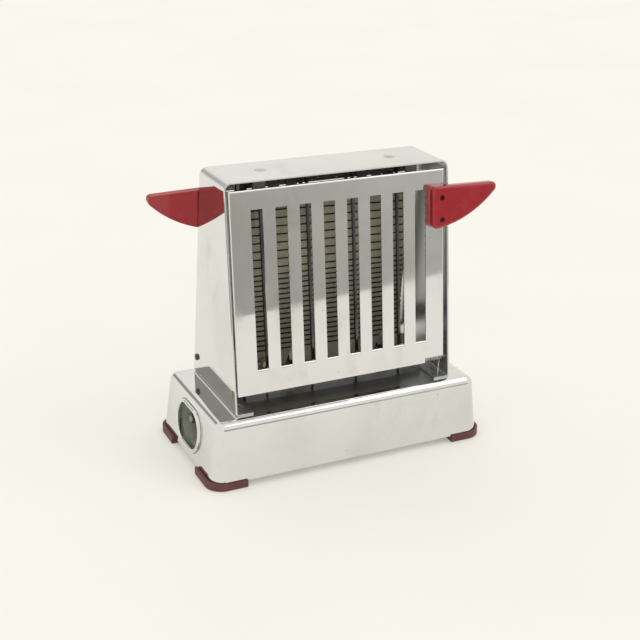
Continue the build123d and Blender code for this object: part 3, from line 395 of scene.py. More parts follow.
def moulded_grain():
    """Flow streaks, fine grain and rubbed patches of a pressed moulding."""
    tree, given, result = effect_tree("moulded grain", ("Body", "Rubbed"), {
        "Grain Scale": 900.0, "Gloss": 0.2, "Matt": 0.4})
    place = given["Vector"]
    grain = noise(tree, place, given["Grain Scale"], 3.0, 0.6)
    flow = ease(tree, noise(tree, stretch(tree, place, (1.0, 1.0, 0.3)), 60.0, 4.0), 0.4, 0.75)
    rubs = ease(tree, noise(tree, place, 160.0, 4.0, 0.65), 0.5, 0.75)
    worn = times(tree, compute(tree, "MAXIMUM", flow, rubs), 0.55)
    body = blend_colour(tree, worn, given["Body"], given["Rubbed"])
    mixed = compute(tree, "ADD", times(tree, worn, 0.8), times(tree, grain, 0.3))
    spread = level_between(tree, mixed, given["Gloss"], given["Matt"])
    drawn = stretch(tree, place, (1.0, 0.05, 1.0))
    scrapes = ease(tree, noise(tree, drawn, 500.0, 1.0), 0.68, 0.74)
    height = compute(tree, "ADD", grain, times(tree, scrapes, -0.4))
    return give_out(tree, result, body, spread, height)


def worked_metal():
    """Drawing or turning lines, with stains that gather in patches."""
    tree, given, result = effect_tree("worked metal", ("Bright", "Stained"), {
        "Stain Scale": 200.0, "Smooth": 0.2, "Rough": 0.5})
    place = given["Vector"]
    stains = ease(tree, noise(tree, place, given["Stain Scale"], 5.0, 0.65), 0.42, 0.68)
    drawn = noise(tree, stretch(tree, place, (0.06, 1.0, 1.0)), 2600.0, 2.0)
    body = blend_colour(tree, stains, given["Bright"], given["Stained"])
    streaked = blend_colour(tree, times(tree, ease(tree, drawn, 0.5, 0.8), 0.35),
                            body, given["Stained"])
    mixed = compute(tree, "ADD", times(tree, stains, 0.7), times(tree, drawn, 0.3))
    spread = level_between(tree, mixed, given["Smooth"], given["Rough"])
    return give_out(tree, result, streaked, spread, drawn)


def fired_clay():
    """Pores, fine sand and soot on unglazed ceramic."""
    tree, given, result = effect_tree("fired clay", ("Body", "Soot"), {"Pore Scale": 900.0})
    place = given["Vector"]
    sand = noise(tree, place, given["Pore Scale"], 4.0, 0.7)
    pores = spots(tree, place, given["Pore Scale"], 0.35, 0.3)
    soot = ease(tree, noise(tree, place, 90.0, 5.0, 0.6), 0.45, 0.75)
    dirty = compute(tree, "ADD", times(tree, soot, 0.6), times(tree, pores, 0.35))
    body = blend_colour(tree, dirty, given["Body"], given["Soot"])
    spread = level_between(tree, sand, 0.5, 0.8)
    height = compute(tree, "SUBTRACT", sand, pores)
    return give_out(tree, result, body, spread, height)


EFFECTS = {"sheet marks": sheet_marks, "moulded grain": moulded_grain,
           "worked metal": worked_metal, "fired clay": fired_clay}


def effect(name):
    """The shared node group of that name, built at its first use."""
    return bpy.data.node_groups.get(name) or EFFECTS[name]()


def finish_with(material_name, group_name, inputs, relief, shader=None, over=()):
    """Material in which one shared effect colours, roughens and raises a Principled surface.

    Each entry of over is a mask, a colour and a roughness, laid on top where the mask is one.
    """
    if material_name in bpy.data.materials:
        return bpy.data.materials[material_name]
    material, tree, surface, place = new_material(material_name)
    for key, value in (shader or {}).items():
        surface.inputs[key].default_value = value
    marks = put(tree, "Group", {"Vector": place, **inputs}, node_tree=effect(group_name))
    colour, rough = marks.outputs["Color"], marks.outputs["Roughness"]
    for mask, other_colour, other_rough in over:
        covered = mask(tree, place)
        colour = blend_colour(tree, covered, colour, rgba(other_colour))
        rough = blend_number(tree, covered, rough, other_rough)
    feed_surface(tree, surface, colour, rough, relief, marks.outputs["Height"])
    return material


def dress(material, *names):
    """Gives a finish to CAD nodes through their material slots."""
    for name in names:
        node = NODES[name]
        if not node.material_slots:
            node.data.materials.append(material)
        for place in node.material_slots:
            place.material = material


# ---------------------------------------------------------------- masks
def distances(tree, place):
    """How far a point lies from the middle along the length and the depth, and its height."""
    parts = axes(tree, place)
    length, depth = (compute(tree, "ABSOLUTE", parts[key]) for key in "XY")
    return length, depth, parts["Z"]


def inner_faces(tree, place):
    """One on the housing's inner faces, which lie inside the middle of its sheet."""
    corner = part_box("housing_shell")[1]
    length, _, height = distances(tree, place)
    between = compute(tree, "LESS_THAN", length, corner[0] - HALF_SHEET)
    below = compute(tree, "LESS_THAN", height, corner[2] - HALF_SHEET)
    return times(tree, between, below)


def toasting_floor(tree, place):
    """One on the part of the base's top that the housing stands over, soft at its edge."""
    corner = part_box("housing_shell")[1]
    length, depth, _ = distances(tree, place)
    along = ease(tree, length, corner[0], corner[0] - 2.0 * MILLIMETRE)
    across = ease(tree, depth, corner[1] + 3.0 * MILLIMETRE, corner[1] - 1.0 * MILLIMETRE)
    return times(tree, along, across)


def painted_dimple_rings(tree, place):
    """One in a soft ring round each rivet of the housing's top, by the distance from its middle:
    painted shade that stands for a shallow dimple.
    """
    low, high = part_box("top_rivets")
    length, depth, height = distances(tree, place)
    aside = compute(tree, "SUBTRACT", length, high[0] - (high[1] - low[1]) / 2.0)
    away = compute(tree, "SQRT", compute(tree, "ADD", compute(tree, "POWER", aside, 2.0),
                                         compute(tree, "POWER", depth, 2.0)))
    ring = ease(tree, away, 4.3 * MILLIMETRE, 3.0 * MILLIMETRE, 0.0, 0.75)
    outside = compute(tree, "GREATER_THAN", height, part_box("housing_shell")[1][2] - HALF_SHEET)
    return times(tree, ring, outside)


def collar_contact_shade(tree, place):
    """One in the thin line of painted shade round the collar, where the bead meets the base's end, by
    the distance from the mouth's outline.
    """
    settings = bpy.context.scene.toaster_inlet
    parts = axes(tree, place)
    radius = settings.mouth_height / 2.0
    past = compute(tree, "SUBTRACT", compute(tree, "ABSOLUTE", parts["Y"]),
                   settings.mouth_length / 2.0 - radius)
    past = compute(tree, "MAXIMUM", past, 0.0)
    rise = compute(tree, "SUBTRACT", parts["Z"], settings.middle[2])
    away = compute(tree, "SQRT", compute(tree, "ADD", compute(tree, "POWER", past, 2.0),
                                         compute(tree, "POWER", rise, 2.0)))
    aside = compute(tree, "ABSOLUTE", compute(tree, "SUBTRACT", away, radius + settings.bead_width))
    line = ease(tree, aside, 0.9 * MILLIMETRE, 0.25 * MILLIMETRE, 0.0, 0.7)
    return times(tree, line, compute(tree, "LESS_THAN", parts["X"], -0.08))


def rear_pin(tree, place):
    """One on the rear pin, which is made darker than the front one."""
    return ease(tree, axes(tree, place)["Y"], -1.0 * MILLIMETRE, 1.0 * MILLIMETRE, 0.0, 0.85)


def between_walls(tree, place):
    """One on the length of a hinge rod that lies between the housing's walls."""
    length = distances(tree, place)[0]
    return compute(tree, "LESS_THAN", length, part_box("housing_shell")[1][0] + 0.05 * MILLIMETRE)


# ---------------------------------------------------------------- finishes
def plate_finish(name, haze_scale=14.0, hazed=None, dulled=None, over=()):
    """Bright plate, with its own size of haze for each pressing."""
    settings = bpy.context.scene.toaster_plating
    return finish_with(name, "sheet marks", {
        "Clean": rgba(settings.clean), "Hazed": rgba(hazed or settings.hazed),
        "Haze Scale": haze_scale, "Polish": settings.polish,
        "Dulled": dulled or settings.dulled}, settings.ripple, {"Metallic": 1.0}, over)


def moulding_finish(name, body, rubbed, gloss, matt, grain_scale, relief):
    """Pressed moulding powder."""
    return finish_with(name, "moulded grain", {
        "Body": rgba(body), "Rubbed": rgba(rubbed), "Gloss": gloss, "Matt": matt,
        "Grain Scale": grain_scale}, relief, {"IOR": 1.56})


def metal_finish(name, bright, stained, smooth, rough, stain_scale=200.0, relief=0.000004, over=()):
    """Turned, drawn or rolled metal."""
    return finish_with(name, "worked metal", {
        "Bright": rgba(bright), "Stained": rgba(stained), "Smooth": smooth, "Rough": rough,
        "Stain Scale": stain_scale}, relief, {"Metallic": 1.0}, over)


def clay_finish(name, body, soot, relief=0.00002):
    """Unglazed ceramic."""
    return finish_with(name, "fired clay", {"Body": rgba(body), "Soot": rgba(soot)}, relief,
                       {"IOR": 1.5})


def mica_finish():
    """Pressed mica: overlapping flakes and scorched patches, darkened towards the bottom by painted
    shade and made nearly black at the top by painted shade under the top bracket.
    """
    name = "pressed mica"
    if name in bpy.data.materials:
        return bpy.data.materials[name]
    settings = bpy.context.scene.toaster_element
    material, tree, surface, place = new_material(name)
    flakes = cells(tree, place, 330.0)[1][0]
    glints = cells(tree, place, 900.0)[1][1]
    cloud = ease(tree, noise(tree, place, 34.0, 5.0, 0.6), 0.38, 0.72)
    lit = blend_colour(tree, times(tree, flakes, 0.75), rgba(settings.mica), rgba(settings.flake))
    height = axes(tree, place)["Z"]
    # Painted shade: the card grows darker towards the bottom, where little light reaches.
    low_shade = ease(tree, height, 0.07, 0.145, 0.6, 0.1)
    scorch_and_low_shade = compute(tree, "MAXIMUM", times(tree, cloud, 0.5), low_shade)
    # Scorched patches and the painted shade low on the card, laid over the lit mica.
    toasted = blend_colour(tree, scorch_and_low_shade, lit, rgba(settings.scorch_and_shade))
    # Painted shade: the card turns nearly black at the top, under the top bracket.
    shade_darkened = blend_colour(tree, ease(tree, height, 0.166, 0.174, 0.0, 0.92), toasted,
                          (0.02, 0.018, 0.016, 1.0))
    sparkle = blend_colour(tree, times(tree, ease(tree, glints, 0.86, 0.95), 0.3),
                           shade_darkened, (0.62, 0.60, 0.52, 1.0))
    rough = ease(tree, flakes, 0.0, 1.0, 0.28, 0.55)
    layers = compute(tree, "ADD", flakes, times(tree, glints, 0.4))
    feed_surface(tree, surface, sparkle, rough, 0.00003, layers)
    return material


def sleeve_finish():
    """Woven heat-proof sleeving: two sets of threads that cross along the lead."""
    name = "woven sleeve"
    if name in bpy.data.materials:
        return bpy.data.materials[name]
    material, tree, surface, place = new_material(name)
    threads = []
    for turn in (0.785, -0.785):
        turned = stretch(tree, place, (1.0, 1.0, 1.0), (turn, turn, turn))
        bands = put(tree, "TexWave", {"Vector": turned, "Scale": 420.0, "Distortion": 1.5,
                                      "Detail": 2.0})
        threads.append(bands.outputs["Fac"])
    weave = compute(tree, "MAXIMUM", threads[0], threads[1])
    soot = ease(tree, noise(tree, place, 80.0, 4.0), 0.4, 0.7)
    yarn = blend_colour(tree, weave, (0.20, 0.18, 0.145, 1.0), (0.50, 0.47, 0.40, 1.0))
    aged = blend_colour(tree, times(tree, soot, 0.6), yarn, (0.17, 0.15, 0.12, 1.0))
    rough = ease(tree, weave, 0.0, 1.0, 0.95, 0.75)
    feed_surface(tree, surface, aged, rough, 0.00012, weave)
    return material


# ---------------------------------------------------------------- surfaces
def lay_faces(name, points, faces, material, body):
    """Smooth piece from points and faces, riding on a body.

    The volume inside is a sixth of the sum, over triangles fanned from each face's first corner, of
    one corner dotted with the cross product of the other two. The faces are turned round where it
    comes out negative, so that they point outwards.
    """
    quads = np.array([face for face in faces if len(face) == 4])
    corners = points[quads]
    volume = sum((corners[:, 0] * np.cross(corners[:, step], corners[:, step + 1])).sum()
                 for step in (1, 2))
    mesh = bpy.data.meshes.new(name)
    mesh.from_pydata(points.tolist(), [], faces if volume > 0.0 else [face[::-1] for face in faces])
    mesh.polygons.foreach_set("use_smooth", np.ones(len(mesh.polygons), bool))
    mesh.materials.append(material)
    mesh.validate()
    mesh.update()
    piece = place_object(name, mesh)
    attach(piece, body)
    return piece


def lay_tubes(name, grids, material, body):
    """Closed tubes from grids of rings: quads between neighbouring rings and a face on each end."""
    faces = []
    for number, (rings, around) in enumerate(grid.shape[:2] for grid in grids):
        index = number * rings * around + np.arange(rings * around).reshape(rings, around)
        turned = np.roll(index, -1, axis=1)
        quads = np.stack([index[:-1], turned[:-1], turned[1:], index[1:]], axis=-1).reshape(-1, 4)
        faces += quads.tolist() + [index[0][::-1].tolist(), index[-1].tolist()]
    points = np.concatenate([grid.reshape(-1, 3) for grid in grids])
    return lay_faces(name, points, faces, material, body)


def lay_loop(name, grid, material, body):
    """Ring-shaped piece from a grid that closes on itself both ways."""
    rings, around = grid.shape[:2]
    index = np.arange(rings * around).reshape(rings, around)
    quads = np.stack([index, np.roll(index, -1, axis=1), np.roll(index, (-1, -1), axis=(0, 1)),
                      np.roll(index, -1, axis=0)], axis=-1).reshape(-1, 4)
    return lay_faces(name, grid.reshape(-1, 3), quads.tolist(), material, body)


def carry_circle(path, outward, radius, sides):
    """Rings of a round wire.

    At each point of the path the direction is the difference to its neighbours. The outward
    vector less its share along that direction gives the ring's first axis, their cross product the
    second, and a ring is the point plus radius times cosine of the first and sine of the second.
    """
    along = np.gradient(path, axis=0)
    along /= np.linalg.norm(along, axis=1, keepdims=True)
    first = outward - (outward * along).sum(axis=1, keepdims=True) * along
    first /= np.linalg.norm(first, axis=1, keepdims=True)
    second = np.cross(along, first)
    angle = np.linspace(0.0, 2.0 * np.pi, sides, endpoint=False)[None, :, None]
    ring = np.cos(angle) * first[:, None] + np.sin(angle) * second[:, None]
    return path[:, None] + radius * ring


def spring_path(settings, hinge_y, hinge_z, lean, leg_drop, leg_rise, hook_end):
    """Middle line of a closing spring.

    The coil is a circle about the rod, swept evenly along it from its lowest point. Its first leg
    comes up straight from the tab to a knee beside that point, on the card's side, and rounds it by
    a parabola, with the knee as its middle control point. There it is clear of the open door's
    edge, but it stands 1.4 mm inward of the tab's hole, and its end is sunk in the tab's sheet.
    Its last leg leaves along the tangent up the door and turns through a quarter circle into a
    hook that runs out along the rod's direction.
    """
    last = 2.0 * np.pi * settings.turns + lean
    angle = np.linspace(-np.pi / 2.0, last, settings.turns * 28 + 8)
    coil = np.stack([settings.outer_end - settings.pitch * angle / (2.0 * np.pi),
                     hinge_y - settings.coil_radius * np.cos(angle),
                     hinge_z + settings.coil_radius * np.sin(angle)], axis=1)
    slope = settings.pitch / (2.0 * np.pi * settings.coil_radius)
    leave = np.array([-slope, -1.0, 0.0]) / math.hypot(slope, 1.0)
    rise = np.array([-slope, math.sin(last), math.cos(last)]) / math.hypot(slope, 1.0)
    knee = coil[0] - leave * 0.9 * MILLIMETRE
    base = np.array([settings.outer_end - settings.foot_inset, hinge_y - settings.coil_radius,
                     hinge_z - leg_drop])
    round_from = knee + (base - knee) * 0.1
    round_to = knee + leave * 0.7 * MILLIMETRE
    straight = base + (round_from - base) * np.linspace(0.0, 0.9, 8)[:, None]
    share = np.linspace(0.0, 1.0, 9)[:, None]
    rounded = (1 - share) ** 2 * round_from + 2 * share * (1 - share) * knee + share ** 2 * round_to
    bend = 1.5 * MILLIMETRE
    climb = coil[-1] + rise * (leg_rise - bend) * np.linspace(0.08, 1.0, 8)[:, None]
    sweep = np.linspace(0.0, np.pi / 2.0, 9)[1:, None]
    sideways = np.array([1.0, 0.0, 0.0])
    corner = climb[-1] + bend * (np.sin(sweep) * rise + (1.0 - np.cos(sweep)) * sideways)
    length = hook_end - corner[-1, 0]
    hook = corner[-1] + sideways * length * np.linspace(0.12, 1.0, 6)[:, None]
    return np.concatenate([straight, rounded, coil, climb, corner, hook])


def inlet_frame(settings):
    """Middle of the mouth, with the directions along it, up its slant and out of the base's end."""
    along = np.array([0.0, -1.0, 0.0])
    up = np.array([math.sin(settings.slant), 0.0, math.cos(settings.slant)])
    out = np.array([-math.cos(settings.slant), 0.0, math.sin(settings.slant)])
    return np.array(settings.middle), along, up, out


def bead_surface(settings):
    """Rolled bead and sleeve of the collar.

    The path is the mouth's outline: a half circle about each end's middle. At each path point the
    profile goes up the sleeve, over half an ellipse and back down outside, measured away from the
    mouth along the path's normal and out of the base's end.
    """
    middle, along, up, out = inlet_frame(settings)
    radius = settings.mouth_height / 2.0
    reach = (settings.mouth_length - settings.mouth_height) / 2.0
    quarter = np.pi / 2.0
    turn = np.concatenate([np.linspace(start, start + np.pi, 41) for start in (-quarter, quarter)])
    centre = np.where(np.arange(turn.size) < 41, reach, -reach)[:, None] * along
    normal = np.cos(turn)[:, None] * along + np.sin(turn)[:, None] * up
    arch = np.linspace(np.pi, 0.0, 17)
    half_width, shoulder = settings.bead_width / 2.0, 0.3 * MILLIMETRE
    away = np.concatenate([[0.0], half_width * (1.0 + np.cos(arch)),
                           [settings.bead_width, settings.sleeve_wall, settings.sleeve_wall]])
    high = np.concatenate([[-settings.sleeve_depth],
                           shoulder + (settings.bead_rise - shoulder) * np.sin(arch),
                           [-shoulder, -shoulder, -settings.sleeve_depth]])
    return (middle + centre[:, None] + (radius + away)[None, :, None] * normal[:, None]
            + high[None, :, None] * out)


def pin_surfaces(settings, sides=32):
    """Both pins, each a circle whose radius follows the turned profile along the pin.

    The profile is the threaded tail, the shoulder on the cup's floor, the shaft, and a tip whose
    radius falls along a quarter ellipse.
    """
    middle, along, up, out = inlet_frame(settings)
    dome = np.linspace(0.0, 0.48 * np.pi, 12)
    radius = settings.pin_radius
    high = np.concatenate([[-27.4, -17.02, -17.0], [settings.pin_tip / MILLIMETRE - 1.4],
                           settings.pin_tip / MILLIMETRE - 1.2 + 1.2 * np.sin(dome)]) * MILLIMETRE
    size = np.concatenate([[2.0 * MILLIMETRE, 2.0 * MILLIMETRE, radius, radius],
                           radius * np.cos(dome)])
    angle = np.linspace(0.0, 2.0 * np.pi, sides, endpoint=False)[:, None]
    circle = np.cos(angle) * along + np.sin(angle) * up
    turned = middle + high[:, None, None] * out + size[:, None, None] * circle
    return [turned + side * settings.pin_spacing / 2.0 * along for side in (-1.0, 1.0)]


# ---------------------------------------------------------------- operators
class TOASTER_OT_plate_shells(Operator):
    """Plates the base, the housing, the doors and their fingers"""

    bl_idname = "toaster.plate_shells"
    bl_label = "Plate Shells"

    def execute(self, context):
        settings = context.scene.toaster_plating
        dress(plate_finish("plated housing", 13.0, over=(
            # Inner faces: unpolished plate, darkened as painted shade inside the housing.
            (inner_faces, settings.inside, settings.inside_dulled),
            # Painted shade: a dark ring round each top rivet in place of a dimple.
            (painted_dimple_rings, (0.40, 0.385, 0.35), 0.28))), "housing_shell")
        dress(metal_finish("worn rivet tops", (0.62, 0.60, 0.55), (0.42, 0.38, 0.31), 0.20, 0.42,
                           500.0), "top_rivets")
        dress(plate_finish("plated base", 17.0, over=(
            # Base top under the housing: unpolished plate, darkened as painted shade.
            (toasting_floor, settings.inside, settings.inside_dulled),
            # Painted shade: a thin dark line round the collar's bead on the base's end.
            (collar_contact_shade, (0.16, 0.155, 0.14), 0.35))), "base_shell")
        dress(plate_finish("plated doors", 20.0, hazed=(0.66, 0.655, 0.63), dulled=0.11),
              "door_front", "door_rear")
        dress(plate_finish("plated fingers", 40.0, dulled=0.22), "turning_fingers_front",
              "turning_fingers_rear")
        dress(metal_finish("bottom sheet", (0.55, 0.55, 0.53), (0.30, 0.29, 0.27), 0.30, 0.50,
                           40.0), "bottom_plate")
        return {"FINISHED"}


class TOASTER_OT_mould_handles(Operator):
    """Finishes both handles with their screws and nuts"""

    bl_idname = "toaster.mould_handles"
    bl_label = "Mould Handles"

    def execute(self, context):
        settings = context.scene.toaster_moulding
        red = moulding_finish("red moulding", settings.handle, (0.42, 0.034, 0.046),
                              settings.handle_gloss, settings.handle_gloss + 0.14, 700.0, 0.000003)
        dress(red, "handle_front", "handle_rear")
        dress(metal_finish("blackened screws", (0.05, 0.035, 0.033), (0.02, 0.014, 0.013), 0.35,
                           0.6), "handle_screws_front", "handle_screws_rear")
        dress(metal_finish("bright nuts", (0.62, 0.61, 0.58), (0.33, 0.31, 0.27), 0.22, 0.45),
              "handle_nuts_front", "handle_nuts_rear")
        return {"FINISHED"}


class TOASTER_OT_mould_feet(Operator):
    """Finishes the four corner feet and their screws"""

    bl_idname = "toaster.mould_feet"
    bl_label = "Mould Feet"

    def execute(self, context):
        settings = context.scene.toaster_moulding
        maroon = moulding_finish("maroon moulding", settings.foot, (0.185, 0.075, 0.066),
                                 settings.foot_gloss, settings.foot_gloss + 0.2, 1100.0, 0.00003)
        feet = [name for name in NODES if name.startswith("foot_") and name != "foot_screws"]
        dress(maroon, *feet)
        dress(metal_finish("foot screws", (0.55, 0.54, 0.51), (0.25, 0.21, 0.16), 0.28, 0.5),
              "foot_screws")
        return {"FINISHED"}


class TOASTER_OT_wind_springs(Operator):
    """Winds both closing springs from round wire and finishes the hinge rods"""

    bl_idname = "toaster.wind_springs"
    bl_label = "Wind Closing Springs"

    def execute(self, context):
        settings = context.scene.toaster_springs
        rod_low, rod_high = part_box("hinge_rod_front")
        spring_low, spring_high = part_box("closing_spring_front")
        hinge_y = (rod_low[1] + rod_high[1]) / 2.0
        hinge_z = (rod_low[2] + rod_high[2]) / 2.0
        wire = metal_finish("spring wire", (0.74, 0.73, 0.71), (0.36, 0.33, 0.29), 0.16, 0.36,
                            500.0)
        path = spring_path(settings, hinge_y, hinge_z, math.radians(6.3),
                           hinge_z - spring_low[2] - 0.05 * MILLIMETRE, 9.0 * MILLIMETRE,
                           spring_high[0] - 0.05 * MILLIMETRE)
        outward = path - np.array([0.0, hinge_y, hinge_z])
        outward[:, 0] = 0.0
        rings = carry_circle(path, outward, settings.wire_radius, settings.sides)
        half_turn = np.array([-1.0, -1.0, 1.0])
        for side, placed in (("front", rings), ("rear", rings * half_turn)):
            # Both springs ride on the toaster whole, so their hooks stay when the doors open.
            spring = lay_tubes("spring_round_" + side, [placed], wire, "toaster")
            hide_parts("closing_spring_" + side)
        dull_middle = ((between_walls, (0.26, 0.255, 0.245), 0.38),)
        dress(metal_finish("front hinge rod", (0.34, 0.28, 0.18), (0.15, 0.12, 0.08), 0.22, 0.42,
                           300.0, over=dull_middle), "hinge_rod_front")
        dress(metal_finish("rear hinge rod", (0.16, 0.14, 0.12), (0.06, 0.05, 0.045), 0.35, 0.55,
                           300.0, over=dull_middle), "hinge_rod_rear")
        dress(metal_finish("brass rivets", (0.60, 0.55, 0.42), (0.28, 0.24, 0.17), 0.25, 0.5),
              "tab_rivets")
        return {"FINISHED"}


class TOASTER_OT_finish_element(Operator):
    """Finishes the mica card, its ribbon and the terminals"""

    bl_idname = "toaster.finish_element"
    bl_label = "Finish Heating Element"

    def execute(self, context):
        settings = context.scene.toaster_element
        dress(mica_finish(), "mica_card")
        dress(metal_finish("oxidised ribbon", settings.ribbon, (0.05, 0.042, 0.036), 0.35, 0.6,
                           400.0), "heating_ribbon")
        dress(metal_finish("terminal brass", (0.68, 0.55, 0.28), (0.32, 0.22, 0.10), 0.25, 0.5),
              "terminal_screws", "terminal_nuts")
        return {"FINISHED"}


class TOASTER_OT_finish_guards(Operator):
    """Finishes the guards, the card brackets and their rivets"""

    bl_idname = "toaster.finish_guards"
    bl_label = "Finish Guards"

    def execute(self, context):
        # The guard bars are coloured near black, so they read as dark lines across the slots.
        blackened = metal_finish("guard bars", (0.13, 0.13, 0.132), (0.07, 0.066, 0.06), 0.16, 0.34,
                                 60.0, 0.000002)
        dress(blackened, "guard_front", "guard_rear")
        dress(metal_finish("bracket sheet", (0.44, 0.44, 0.445), (0.24, 0.23, 0.205), 0.32, 0.50,
                           50.0), "bottom_bracket")
        # Painted shade: the top bracket is made nearly black so the gap under the housing's top reads
        # dark.
        dress(metal_finish("smoked bracket", (0.12, 0.12, 0.13), (0.06, 0.055, 0.05), 0.34, 0.52,
                           50.0), "top_bracket")
        dress(metal_finish("steel rivets", (0.34, 0.33, 0.31), (0.16, 0.14, 0.11), 0.30, 0.5),
              "guard_rivets", "bottom_rivets")
        return {"FINISHED"}


class TOASTER_OT_finish_inlet(Operator):
    """Finishes the inlet cup, its pins and the leads inside the base"""

    bl_idname = "toaster.finish_inlet"
    bl_label = "Finish Inlet"

    def execute(self, context):
        dress(clay_finish("dark ceramic", (0.42, 0.44, 0.375), (0.13, 0.135, 0.115)), "inlet_cup")
        dress(clay_finish("pale ceramic", (0.60, 0.57, 0.50), (0.26, 0.23, 0.18)), "lead_bushes")
        settings = context.scene.toaster_inlet
        bead = lay_loop("collar_rolled", bead_surface(settings),
                        plate_finish("plated collar", 60.0), "toaster")
        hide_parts("inlet_collar")
        nickel = metal_finish("nickelled pins", (0.97, 0.96, 0.90), (0.80, 0.75, 0.64), 0.40, 0.56,
                              260.0, over=((rear_pin, (0.20, 0.20, 0.17), 0.5),))
        pins = lay_tubes("pins_turned", pin_surfaces(settings), nickel, "toaster")
        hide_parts("inlet_pins")
        dress(metal_finish("inlet fittings", (0.55, 0.53, 0.48), (0.28, 0.24, 0.18), 0.25, 0.5),
              "pin_nuts", "inlet_clips")
        dress(sleeve_finish(), "lead_low", "lead_high")
        return {"FINISHED"}


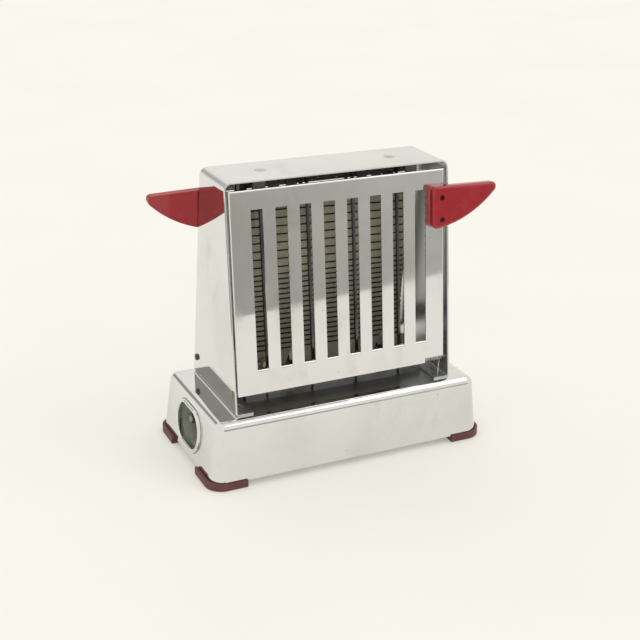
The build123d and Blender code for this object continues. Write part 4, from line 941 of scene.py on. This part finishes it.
class TOASTER_OT_set_stage(Operator):
    """Lays the floor, hangs the lamps and cards, and sets the camera"""

    bl_idname = "toaster.set_stage"
    bl_label = "Set Stage"

    def execute(self, context):
        settings = context.scene.toaster_stage
        context.scene.view_settings.view_transform = "Standard"
        self.light_surround(context.scene, settings)
        self.lay_floor(settings)
        self.hang_cards(settings)
        self.hang_lamps(settings)
        self.set_camera(context.scene, settings)
        return {"FINISHED"}

    def light_surround(self, scene, settings):
        """World that shows the surround colour where it is seen and lights evenly otherwise."""
        world = bpy.data.worlds.new("surround")
        world.use_nodes = True
        scene.world = world
        tree = world.node_tree
        tree.nodes.clear()
        even = put(tree, "Background", {"Color": (1.0, 0.99, 0.965, 1.0),
                                        "Strength": settings.sky_level})
        shown = put(tree, "Background", {"Color": rgba(settings.surround), "Strength": 1.0})
        chosen = put(tree, "MixShader", {0: seen_rays(tree), 1: even.outputs[0],
                                         2: shown.outputs[0]})
        put(tree, "OutputWorld", {"Surface": chosen.outputs[0]})

    def lay_floor(self, settings):
        """Flat square of floor under the feet, lit by the lamp and lifted where it is seen."""
        corners = [(FLOOR_REACH * x, FLOOR_REACH * y, FLOOR_DEPTH)
                   for x, y in ((-1, -1), (1, -1), (1, 1), (-1, 1))]
        material, tree, surface, place = new_material("paper")
        surface.inputs["Roughness"].default_value = 0.9
        surface.inputs["Specular IOR Level"].default_value = 0.0
        folds = ease(tree, noise(tree, place, 5.0, 4.0), 0.35, 0.7)
        darker = tuple(part * 0.975 for part in settings.paper)
        paper = blend_colour(tree, folds, rgba(settings.paper), rgba(darker))
        tree.links.new(paper, surface.inputs["Base Color"])
        lift = put(tree, "Emission", {
            "Color": rgba(settings.surround),
            "Strength": times(tree, seen_rays(tree), FLOOR_LIFT)})
        both = put(tree, "AddShader", {0: surface.outputs[0], 1: lift.outputs[0]})
        tree.links.new(both.outputs[0], tree.nodes["Material Output"].inputs["Surface"])
        floor = self.lay_square("paper_floor", material, corners)

    def lay_square(self, name, material, corners):
        """One flat face from its four corners."""
        mesh = bpy.data.meshes.new(name)
        mesh.from_pydata(corners, [], [(0, 1, 2, 3)])
        mesh.materials.append(material)
        return place_object(name, mesh)

    def glow(self, tree, surface, colour, level):
        """Changes a material's surface for plain light of a colour and level."""
        tree.nodes.remove(surface)
        light = put(tree, "Emission", {"Color": colour, "Strength": level})
        tree.links.new(light.outputs[0], tree.nodes["Material Output"].inputs["Surface"])

    def hang_cards(self, settings):
        """Grey cards before the front door and at the back left, and a white strip overhead."""
        grey, tree, surface, place = new_material("grey card")
        parts = axes(tree, place)
        across = ease(tree, parts["X"], -0.15, 0.42)
        paler = blend_colour(tree, across, rgba(settings.card),
                             rgba(tuple(part * 1.5 for part in settings.card)))
        rising = ease(tree, parts["Z"], 0.0, 0.12, 0.14, 0.0)
        shade = blend_colour(tree, rising, paler, (0.20, 0.195, 0.18, 1.0))
        self.glow(tree, surface, shade, 1.0)
        self.hang_card("front_card", grey, FRONT_CARD)
        self.hang_card("back_left_card", grey, BACK_LEFT_CARD)
        bright, tree, surface, place = new_material("white strip")
        fade = ease(tree, noise(tree, place, 2.0, 1.0), 0.2, 0.8, 0.9, 1.0)
        level = times(tree, fade, settings.strip_level)
        self.glow(tree, surface, rgba(LAMP_WHITE), level)
        self.hang_card("overhead_strip", bright, OVERHEAD_STRIP)

    def hang_card(self, name, material, corners):
        """One flat card that is met by mirror rays alone."""
        card = self.lay_square(name, material, corners)
        for rays in ("camera", "diffuse", "shadow", "transmission"):
            setattr(card, "visible_" + rays, False)

    def hang_lamps(self, settings):
        """One soft lamp, so high that it lights the whole floor alike."""
        lamp = bpy.data.lights.new("high_lamp", "SUN")
        lamp.energy = settings.lamp_level
        lamp.angle = settings.lamp_spread
        lamp.color = LAMP_WHITE
        hung = place_object("high_lamp", lamp)
        toward = Vector(LAMP_TOWARD)
        hung.location = toward * 3.0
        hung.rotation_euler = toward.to_track_quat("Z", "Y").to_euler()

    def set_camera(self, scene, settings):
        """Camera at the viewing place, turned about its own line of sight by the small roll."""
        place = Vector(CAMERA_PLACE)
        ahead = (Vector(CAMERA_TARGET) - place).normalized()
        level = ahead.cross(Vector((0.0, 0.0, 1.0))).normalized()
        above = level.cross(ahead)
        right = level * math.cos(CAMERA_ROLL) + above * math.sin(CAMERA_ROLL)
        up = right.cross(ahead)
        lens = bpy.data.cameras.new("viewing_camera")
        lens.lens = settings.lens
        lens.sensor_width = 36.0
        lens.clip_start = 0.01
        lens.clip_end = 50.0
        camera = place_object("viewing_camera", lens)
        camera.matrix_world = Matrix((
            (right.x, up.x, -ahead.x, place.x), (right.y, up.y, -ahead.y, place.y),
            (right.z, up.z, -ahead.z, place.z), (0.0, 0.0, 0.0, 1.0)))
        scene.camera = camera


OPERATORS = (TOASTER_OT_plate_shells, TOASTER_OT_mould_handles, TOASTER_OT_mould_feet,
             TOASTER_OT_wind_springs, TOASTER_OT_finish_element, TOASTER_OT_finish_guards,
             TOASTER_OT_finish_inlet, TOASTER_OT_set_stage)
GROUPS = {"toaster_plating": PlatingSettings, "toaster_moulding": MouldingSettings,
          "toaster_springs": SpringSettings, "toaster_inlet": InletSettings,
          "toaster_element": ElementSettings, "toaster_stage": StageSettings}


class TOASTER_PT_sidebar(Panel):
    """Sidebar panel with the toaster's operators and their settings"""

    bl_idname = "TOASTER_PT_sidebar"
    bl_label = "Drop Side Toaster"
    bl_space_type = "VIEW_3D"
    bl_region_type = "UI"
    bl_category = "Toaster"

    def draw(self, context):
        for operator in OPERATORS:
            self.layout.operator(operator.bl_idname)
        for name, group in GROUPS.items():
            box = self.layout.box()
            for key in group.__annotations__:
                box.prop(getattr(context.scene, name), key)


def register():
    for name, group in GROUPS.items():
        bpy.utils.register_class(group)
        setattr(bpy.types.Scene, name, PointerProperty(type=group))
    for operator in OPERATORS:
        bpy.utils.register_class(operator)
    bpy.utils.register_class(TOASTER_PT_sidebar)


def unregister():
    bpy.utils.unregister_class(TOASTER_PT_sidebar)
    for operator in reversed(OPERATORS):
        bpy.utils.unregister_class(operator)
    for name, group in reversed(GROUPS.items()):
        delattr(bpy.types.Scene, name)
        bpy.utils.unregister_class(group)


def main():
    register()
    bpy.ops.toaster.plate_shells()
    bpy.ops.toaster.mould_handles()
    bpy.ops.toaster.mould_feet()
    bpy.ops.toaster.wind_springs()
    bpy.ops.toaster.finish_element()
    bpy.ops.toaster.finish_guards()
    bpy.ops.toaster.finish_inlet()
    bpy.ops.toaster.set_stage()


if __name__ == "__main__":
    main()
